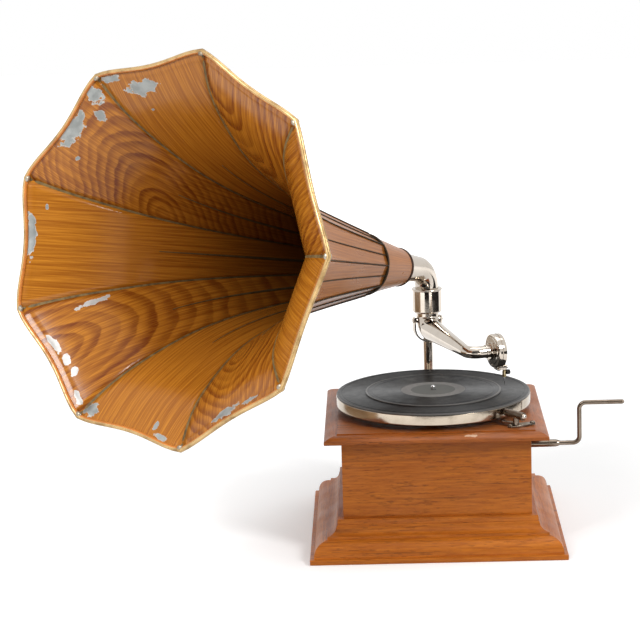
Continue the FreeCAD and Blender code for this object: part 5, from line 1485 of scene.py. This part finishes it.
    def needle_pieces(self) -> None:
        """Ground steel needle and the knurled black thumbscrew."""
        low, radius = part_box("needle")[0].z, self.needle_radius
        tip = self.box @ (Z * self.reach)
        top = tip.z - self.chuck_drop - 1 * MM
        needle = Form().spin([(0, low), (0.25 * radius, low + 0.9 * MM), (radius, low + 4.5 * MM), (radius, top),
                              (0, top)], Matrix.Translation((tip.x, tip.y, 0)), 20)
        needle.finish("needle", "soundbox", "steel", STEEL, smooth=60)
        level, gap = joint_place("needle_screw_turn"), 0.3 * MM
        start = level + self.out * (self.chuck_radius + gap)
        screw = Form().rod(1.2 * MM, level + self.out * (radius + gap), start + self.out * 0.4 * MM)
        screw.knurled_head(facing(start, self.out), self.head_radius, self.head_length, self.teeth)
        screw.finish("needle_screw", "needle_screw", "black_screw", BLACK_SCREW, smooth=25)


@dataclass
class Turntable:
    """Plated platter, mat, record, label and spindle."""

    radius: float = 127.0 * MM
    wall: float = 3.0 * MM
    hub: float = 14.0 * MM
    rim_drop: float = 11.0 * MM
    spindle_radius: float = 3.6 * MM
    bore: float = 3.62 * MM
    record_radius: float = 89.0 * MM
    label_radius: float = 42.0 * MM
    label_rise: float = 0.12 * MM
    lip: float = 2.2 * MM
    pin_radius: float = 2.9 * MM
    pin_length: float = 9.0 * MM

    def build(self) -> None:
        """Makes the pieces that turn."""
        self.platter()
        self.mat()
        self.record()
        self.spindle()

    def platter(self) -> None:
        """Turned dish with a polished rim that stands up a little round the mat."""
        low, high = levels("platter")
        rim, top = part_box("platter_mat")[0].z - self.rim_drop, high + self.lip
        bore, hub, edge, inner, under_top = self.bore, self.hub, self.radius, self.radius - self.wall, high - self.wall
        outline = [(bore, low), (hub, low), (hub, under_top), (inner, under_top), (inner, rim),
                   (edge - 1.2 * MM, rim), (edge - 0.4 * MM, rim + 0.4 * MM), (edge, rim + 1.4 * MM),
                   (edge, top - 0.9 * MM), (edge - 0.3 * MM, top - 0.2 * MM), (edge - 0.9 * MM, top),
                   (edge - self.lip, top), (edge - self.lip, high), (bore, high)]
        Form().spin(outline, steps=192).finish("platter", "turntable", "nickel", RIM_NICKEL, smooth=40)

    @staticmethod
    def disc(outline: Sequence[Point]) -> Form:
        """Turns a disc whose UV map's U runs round the spindle."""
        form = Form().spin(outline, steps=160)
        return form.wrap("Round", lambda spot, angle: (angle / (2 * math.pi), spot.xy.length))

    def mat(self) -> None:
        """Mat that laps over the platter's lip, with a pressed ring near its edge."""
        low, high = levels("platter_mat")
        soft, dip, bore, ring = 0.8 * MM, high - 0.35 * MM, self.bore, 0.955 * self.radius
        edge, seat, over = self.radius - 0.3 * MM, self.radius - self.lip - 0.2 * MM, low + self.lip + 0.15 * MM
        mat = self.disc([(bore, low), (seat, low), (seat, over), (edge, over), (edge, high - soft),
                         (edge - 0.3 * soft, high - 0.3 * soft), (edge - soft, high), (ring, high),
                         (ring - 0.5 * MM, dip), (ring - 2 * MM, dip), (ring - 2.5 * MM, high), (bore, high)])
        mat.finish("platter_mat", "turntable", "felt", MAT_RUBBER)

    def record(self) -> None:
        """Record with its raised edge and run-out, and the plain label."""
        low, high = levels("record")
        edge, label, bore = self.record_radius, self.label_radius, self.bore
        groove, top = high - 0.35 * MM, high - 0.15 * MM
        band, land = groove + 0.2 * MM, groove + 0.1 * MM
        record = self.disc([(bore, low), (edge - 0.6 * MM, low), (edge, low + 0.7 * MM), (edge, high - 0.6 * MM),
                            (edge - 0.5 * MM, high), (edge - 2.2 * MM, high), (edge - 2.6 * MM, groove),
                            (edge - 8.4 * MM, groove), (edge - 8.8 * MM, band), (edge - 9.8 * MM, band),
                            (edge - 10.2 * MM, groove), (label + 7 * MM, groove), (label + 6.4 * MM, land),
                            (label + 1.2 * MM, land), (label + 0.6 * MM, top), (bore, top)])
        record.finish("record", "turntable", "shellac", SHELLAC, smooth=25)
        hole, face, line = bore + 0.1 * MM, top + self.label_rise, top + 0.6 * self.label_rise
        paper = Form().spin([(hole, top), (label, top), (label, face), (0.72 * label, face), (0.71 * label, line),
                             (0.69 * label, line), (0.68 * label, face), (hole, face)], steps=128)
        paper.mark(lambda part: part.calc_center_median().xy.length < 0.69 * label)
        paper.finish("", "turntable", "shellac", LABEL, LABEL_FIELD, smooth=25, name="record_label")

    def spindle(self) -> None:
        """Bright spindle with a rounded tip; its pinion stays inside the case."""
        high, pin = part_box("spindle")[1].z, self.pin_radius
        low = high - self.pin_length
        form = Form("spindle")
        bmesh.ops.bisect_plane(form.mesh, geom=[*form.mesh.verts, *form.mesh.edges, *form.mesh.faces],
                               plane_co=(0, 0, low), plane_no=(0, 0, 1), clear_outer=True)
        form.spin([(0.0, low), (self.spindle_radius, low), (pin, low + 0.8 * MM),
                   *oval((0.0, high - pin), pin, pin, 0, 90, 9)], steps=40)
        form.finish("spindle", "turntable", "steel", STEEL, smooth=50)


@dataclass
class Crank:
    """Bent winding handle with its tapered sleeve and the bush in the case."""

    sleeve_radius: float = 4.9 * MM
    rod_radius: float = 3.0 * MM
    sleeve_end: float = 165.5 * MM
    taper: float = 6.0 * MM
    arm: float = 191.0 * MM
    throw: float = 54.0 * MM
    bend: float = 8.5 * MM
    grip_end: float = 250.0 * MM
    tip_steps: int = 6
    flange: float = 13.0 * MM
    bush_radius: float = 9.0 * MM
    bore: float = 4.55 * MM
    soft: float = 0.6 * MM

    def build(self) -> None:
        """Makes the handle and its bush."""
        height = joint_place("crank_turn").z
        self.handle(height)
        self.bush(height)

    def handle(self, height: float) -> None:
        """Sleeve, rod with two bends and a rounded tip."""
        start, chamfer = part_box("crank")[0].x, 0.5 * MM
        form = Form()
        tube = Tube(form, Vector((start, 0, height)), X, self.sleeve_radius - 0.4 * MM, 32)
        tube.straight(chamfer, self.sleeve_radius).straight(self.sleeve_end - self.taper - start - chamfer)
        tube.straight(self.taper / 2, 0.86 * self.sleeve_radius).straight(self.taper / 2, self.rod_radius)
        tube.corner(Vector((self.arm, 0, height)), Z, self.bend)
        tube.corner(Vector((self.arm, 0, height + self.throw)), X, self.bend)
        tube.straight(self.grip_end - self.rod_radius - tube.at.x)
        turns = [0.5 * math.pi * k / self.tip_steps for k in range(self.tip_steps)]
        for last, turn in zip(turns, turns[1:]):
            tube.straight(self.rod_radius * (math.sin(turn) - math.sin(last)), self.rod_radius * math.cos(turn))
        tube.cap()
        form.finish("crank", "crank", "worn_nickel", WORN_NICKEL, smooth=45)

    def bush(self, height: float) -> None:
        """Flanged bush in the side of the case."""
        low, high = (corner.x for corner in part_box("crank_bush"))
        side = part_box("case_right")[1].x
        bore, radius, flange, soft = self.bore, self.bush_radius, self.flange, self.soft
        outline = [(bore, low), (radius, low), (radius, side), (flange, side), (flange, high - soft),
                   (flange - soft, high), (bore, high)]
        bush = Form().spin(outline, facing(Vector((0, 0, height)), X), 64)
        bush.finish("crank_bush", "cabinet", "worn_nickel", WORN_NICKEL)


@dataclass
class Brake:
    """Base plate, lever with its tube, leather pad, and every wood screw."""

    tube_turn: float = 126.0
    tube_height: float = 177.0 * MM
    tube_tail: float = 15.0 * MM
    button: float = 3.6 * MM
    bracket_head: float = 4.2 * MM
    brake_head: float = 3.4 * MM
    dome: float = 0.6
    slot_lean: Colour = (1, 0.5, 0.4)

    def build(self) -> None:
        """Makes the brake and the screws of the same finish."""
        for node, body, finish, slot, soft in (
                ("brake_base", "cabinet", WORN_NICKEL, "worn_nickel", 0.8 * MM),
                ("brake_lever", "brake", WORN_NICKEL, "worn_nickel", 0.3 * MM),
                ("brake_pad", "brake", LEATHER, "leather", 0.3 * MM)):
            Form(node).soften_sharp(soft).finish(node, body, slot, finish, smooth=40)
        self.tube_end()
        self.screws()

    def tube_end(self) -> None:
        """Bright rounded button in the outer end of the lever's tube."""
        out = -(Matrix.Rotation(math.radians(self.tube_turn), 3, "Z") @ X)
        end = under("brake_swing") + Z * self.tube_height + out * self.tube_tail
        foot, button = -0.5 * MM, self.button
        outline = [(0.0, foot), (button, foot), *oval((0.0, 0.6 * MM), button, 0.8 * button, 0, 90, 8)]
        Form().spin(outline, facing(end, out), 32).finish("", "brake", "worn_nickel", NICKEL, smooth=50,
                                                          name="brake_tube_end")

    def screws(self) -> None:
        """Slotted heads where the frame has plain domes."""
        source, heads = Form("wood_screws"), Form()
        left = dict.fromkeys(source.mesh.verts)
        while left:
            queue, island = [left.popitem()[0]], []
            while queue:
                here = queue.pop()
                island.append(here.co)
                near = [vert for edge in here.link_edges if (vert := edge.other_vert(here)) in left]
                queue += near
                for vert in near:
                    left.pop(vert, None)
            low, high = (Vector(bound(spot[k] for spot in island) for k in range(3)) for bound in (min, max))
            size, foot = high - low, (low + high) / 2
            upright = size.z < size.y
            axis, radius = (2, self.brake_head) if upright else (1, self.bracket_head)
            foot[axis] = low[axis]
            place = facing(foot, Z if upright else Y, Vector(self.slot_lean))
            heads.slotted_head(place, radius, self.dome * radius)
        source.mesh.free()
        heads.finish("wood_screws", "cabinet", "worn_nickel", WORN_NICKEL)


class Motor:
    """Clockwork inside the case, which keeps the frame's own shapes."""

    metals: ClassVar[dict[Finish, tuple[str, ...]]] = {
        MOTOR_BRASS: ("governor_drive_wheel", "spring_barrel", "middle_wheel", "governor_head"),
        MOTOR_STEEL: ("motor_top_plate", "motor_bottom_plate", "motor_pillars", "motor_hangers", "barrel_arbor",
                      "winding_gear", "winding_shaft", "middle_arbor", "governor_shaft", "governor_pad_arm"),
        SPRING_STEEL: ("mainspring",),
    }

    def build(self) -> None:
        """Gives each hidden piece its metal."""
        for finish, nodes in self.metals.items():
            for node in nodes:
                slots = NODES[node].data.materials
                slots.clear()
                slots.append(finish.material())
                log.info("%s keeps its shape", node)


@dataclass
class Studio:
    """Camera, soft lamps, pale floor and white surroundings."""

    place: Colour = (-0.06386, -3.09942, 0.92739)
    yaw: float = -1.51
    pitch: float = -11.74
    roll: float = 1.73
    lens: float = 136.5
    sensor: float = 36.0
    far: float = 50.0
    floor_half: float = 6.0
    ambient: float = 0.34
    floor_grey: float = 0.86
    bounce_grey: float = 0.52
    card_dark: Shade = (36, 34, 34)
    card_warm: Shade = (214, 182, 146)

    def build(self) -> None:
        """Sets up everything that isn't part of the object."""
        self.camera()
        self.world()
        self.floor()
        self.cards()
        self.lamps()
        bpy.context.scene.view_settings.view_transform = "Standard"

    def camera(self) -> None:
        """Places the camera at the photograph's view."""
        yaw, pitch, roll = (math.radians(angle) for angle in (self.yaw, self.pitch, self.roll))
        ahead = Vector((math.sin(yaw) * math.cos(pitch), math.cos(yaw) * math.cos(pitch), math.sin(pitch)))
        level = Vector((math.cos(yaw), -math.sin(yaw), 0))
        upright = level.cross(ahead)
        right = level * math.cos(roll) - upright * math.sin(roll)
        up = level * math.sin(roll) + upright * math.cos(roll)
        data = bpy.data.cameras.new("camera")
        data.lens = self.lens
        data.sensor_width = self.sensor
        data.clip_end = self.far
        place = Matrix.Translation(self.place) @ Matrix((right, up, -ahead)).transposed().to_4x4()
        bpy.context.scene.camera = add_object("camera", data, place)

    @staticmethod
    def seen(graph: Graph) -> Socket:
        """One for camera, mirror and glass rays, and nothing for the light that falls on the object."""
        path = graph.node("LightPath")
        sharp = graph.math("MAXIMUM", path["Is Camera Ray"], path["Is Glossy Ray"])
        return graph.math("MAXIMUM", sharp, path["Is Transmission Ray"])

    @staticmethod
    def aimed(place: Colour, target: Colour, axis: str) -> Matrix:
        """Frame at a place with one of its axes towards a target."""
        aim = Vector(target) - Vector(place)
        return Matrix.Translation(place) @ aim.to_track_quat(axis, "Y").to_matrix().to_4x4()

    @staticmethod
    def sheet(name: str, half: float, material: bpy.types.Material, place: Matrix = HOME) -> bpy.types.Object:
        """Adds a square sheet to the stage."""
        form = Form()
        bmesh.ops.create_grid(form.mesh, x_segments=1, y_segments=1, size=half)
        made = add_object(name, form.data(name, [material]), place)
        return made

    def world(self) -> None:
        """White where it shows, softer where it lights."""
        world = bpy.data.worlds.new("studio")
        world.use_nodes = True
        graph = Graph(world.node_tree)
        strength = graph.node("MapRange", {"Value": self.seen(graph), "To Min": self.ambient, "To Max": 1.0})[0]
        graph.feed(world.node_tree.nodes["Background"], {"Color": (1, 1, 1, 1), "Strength": strength})
        bpy.context.scene.world = world

    def floor(self) -> None:
        """Wide pale floor under the base, which whitens with distance and sends back less light than it shows."""
        material, graph, shader = blank("pale_floor")
        graph.feed(shader, {"Base Color": (*(self.floor_grey,) * 3, 1), "Roughness": 0.9})
        lift = graph.remap(graph.vector("LENGTH", graph.place()), 0.3, 2.2, 0.24, 0.9)
        glow = graph.node("Emission", {"Color": (1, 1, 1, 1), "Strength": lift})[0]
        both = graph.node("AddShader", {0: shader.outputs[0], 1: glow})[0]
        bounce = graph.node("BsdfDiffuse", {"Color": (*(self.bounce_grey,) * 3, 1)})[0]
        kind = graph.node("MixShader", {0: self.seen(graph), 1: bounce, 2: both})[0]
        graph.feed(material.node_tree.nodes["Material Output"], {"Surface": kind})
        self.sheet("floor", self.floor_half, material)

    def cards(self) -> None:
        """Cards that only mirror-like surfaces see, for contrast in the plating."""
        for name, place, target, wide, high, tone in (
                ("card_front", (-0.03, -0.62, 0.14), (-0.03, 0.155, 0.14), 0.5, 0.12, self.card_dark),
                ("card_high", (0.0, -5.2, 2.2), (0.0, 0.0, 0.4), 7.0, 3.4, self.card_dark),
                ("card_left", (-0.62, 0.06, 0.1), (0.0, 0.06, 0.1), 0.72, 0.2, self.card_warm),
                ("card_right", (0.66, -0.21, 0.14), (0.0, -0.21, 0.14), 1.07, 0.22, self.card_dark)):
            material, graph, shader = blank(f"{name}_paint")
            graph.feed(shader, {"Base Color": linear(tone), "Roughness": 1.0})
            card = self.sheet(name, 0.5, material, self.aimed(place, target, "Z") @ Matrix.Diagonal((wide, high, 1, 1)))
            card.visible_camera = card.visible_diffuse = card.visible_transmission = card.visible_shadow = False

    def lamps(self) -> None:
        """A large key at the upper left, a fill at the right and a lamp above."""
        for name, place, target, size, power in (
                ("key", (-2.1, -2.2, 2.2), (-0.1, 0.0, 0.3), 1.2, 90.0),
                ("fill", (2.15, -2.15, 2.1), (0.0, 0.0, 0.2), 0.9, 69.0),
                ("top", (0.2, 0.3, 2.6), (0.0, 0.0, 0.1), 1.6, 15.0)):
            lamp = bpy.data.lights.new(name, "AREA")
            lamp.shape = "SQUARE"
            lamp.size = size
            lamp.energy = power
            add_object(name, lamp, self.aimed(place, target, "-Z"))


def main() -> None:
    """Builds the gramophone in order."""
    logging.basicConfig(level=logging.INFO, format="%(name)s: %(message)s")
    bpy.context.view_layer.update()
    for assembly in (Cabinet(), Column(), Horn(), ToneArm(), Turntable(), Crank(), Brake(), Motor(), Studio()):
        assembly.build()


if __name__ == "__main__":
    main()
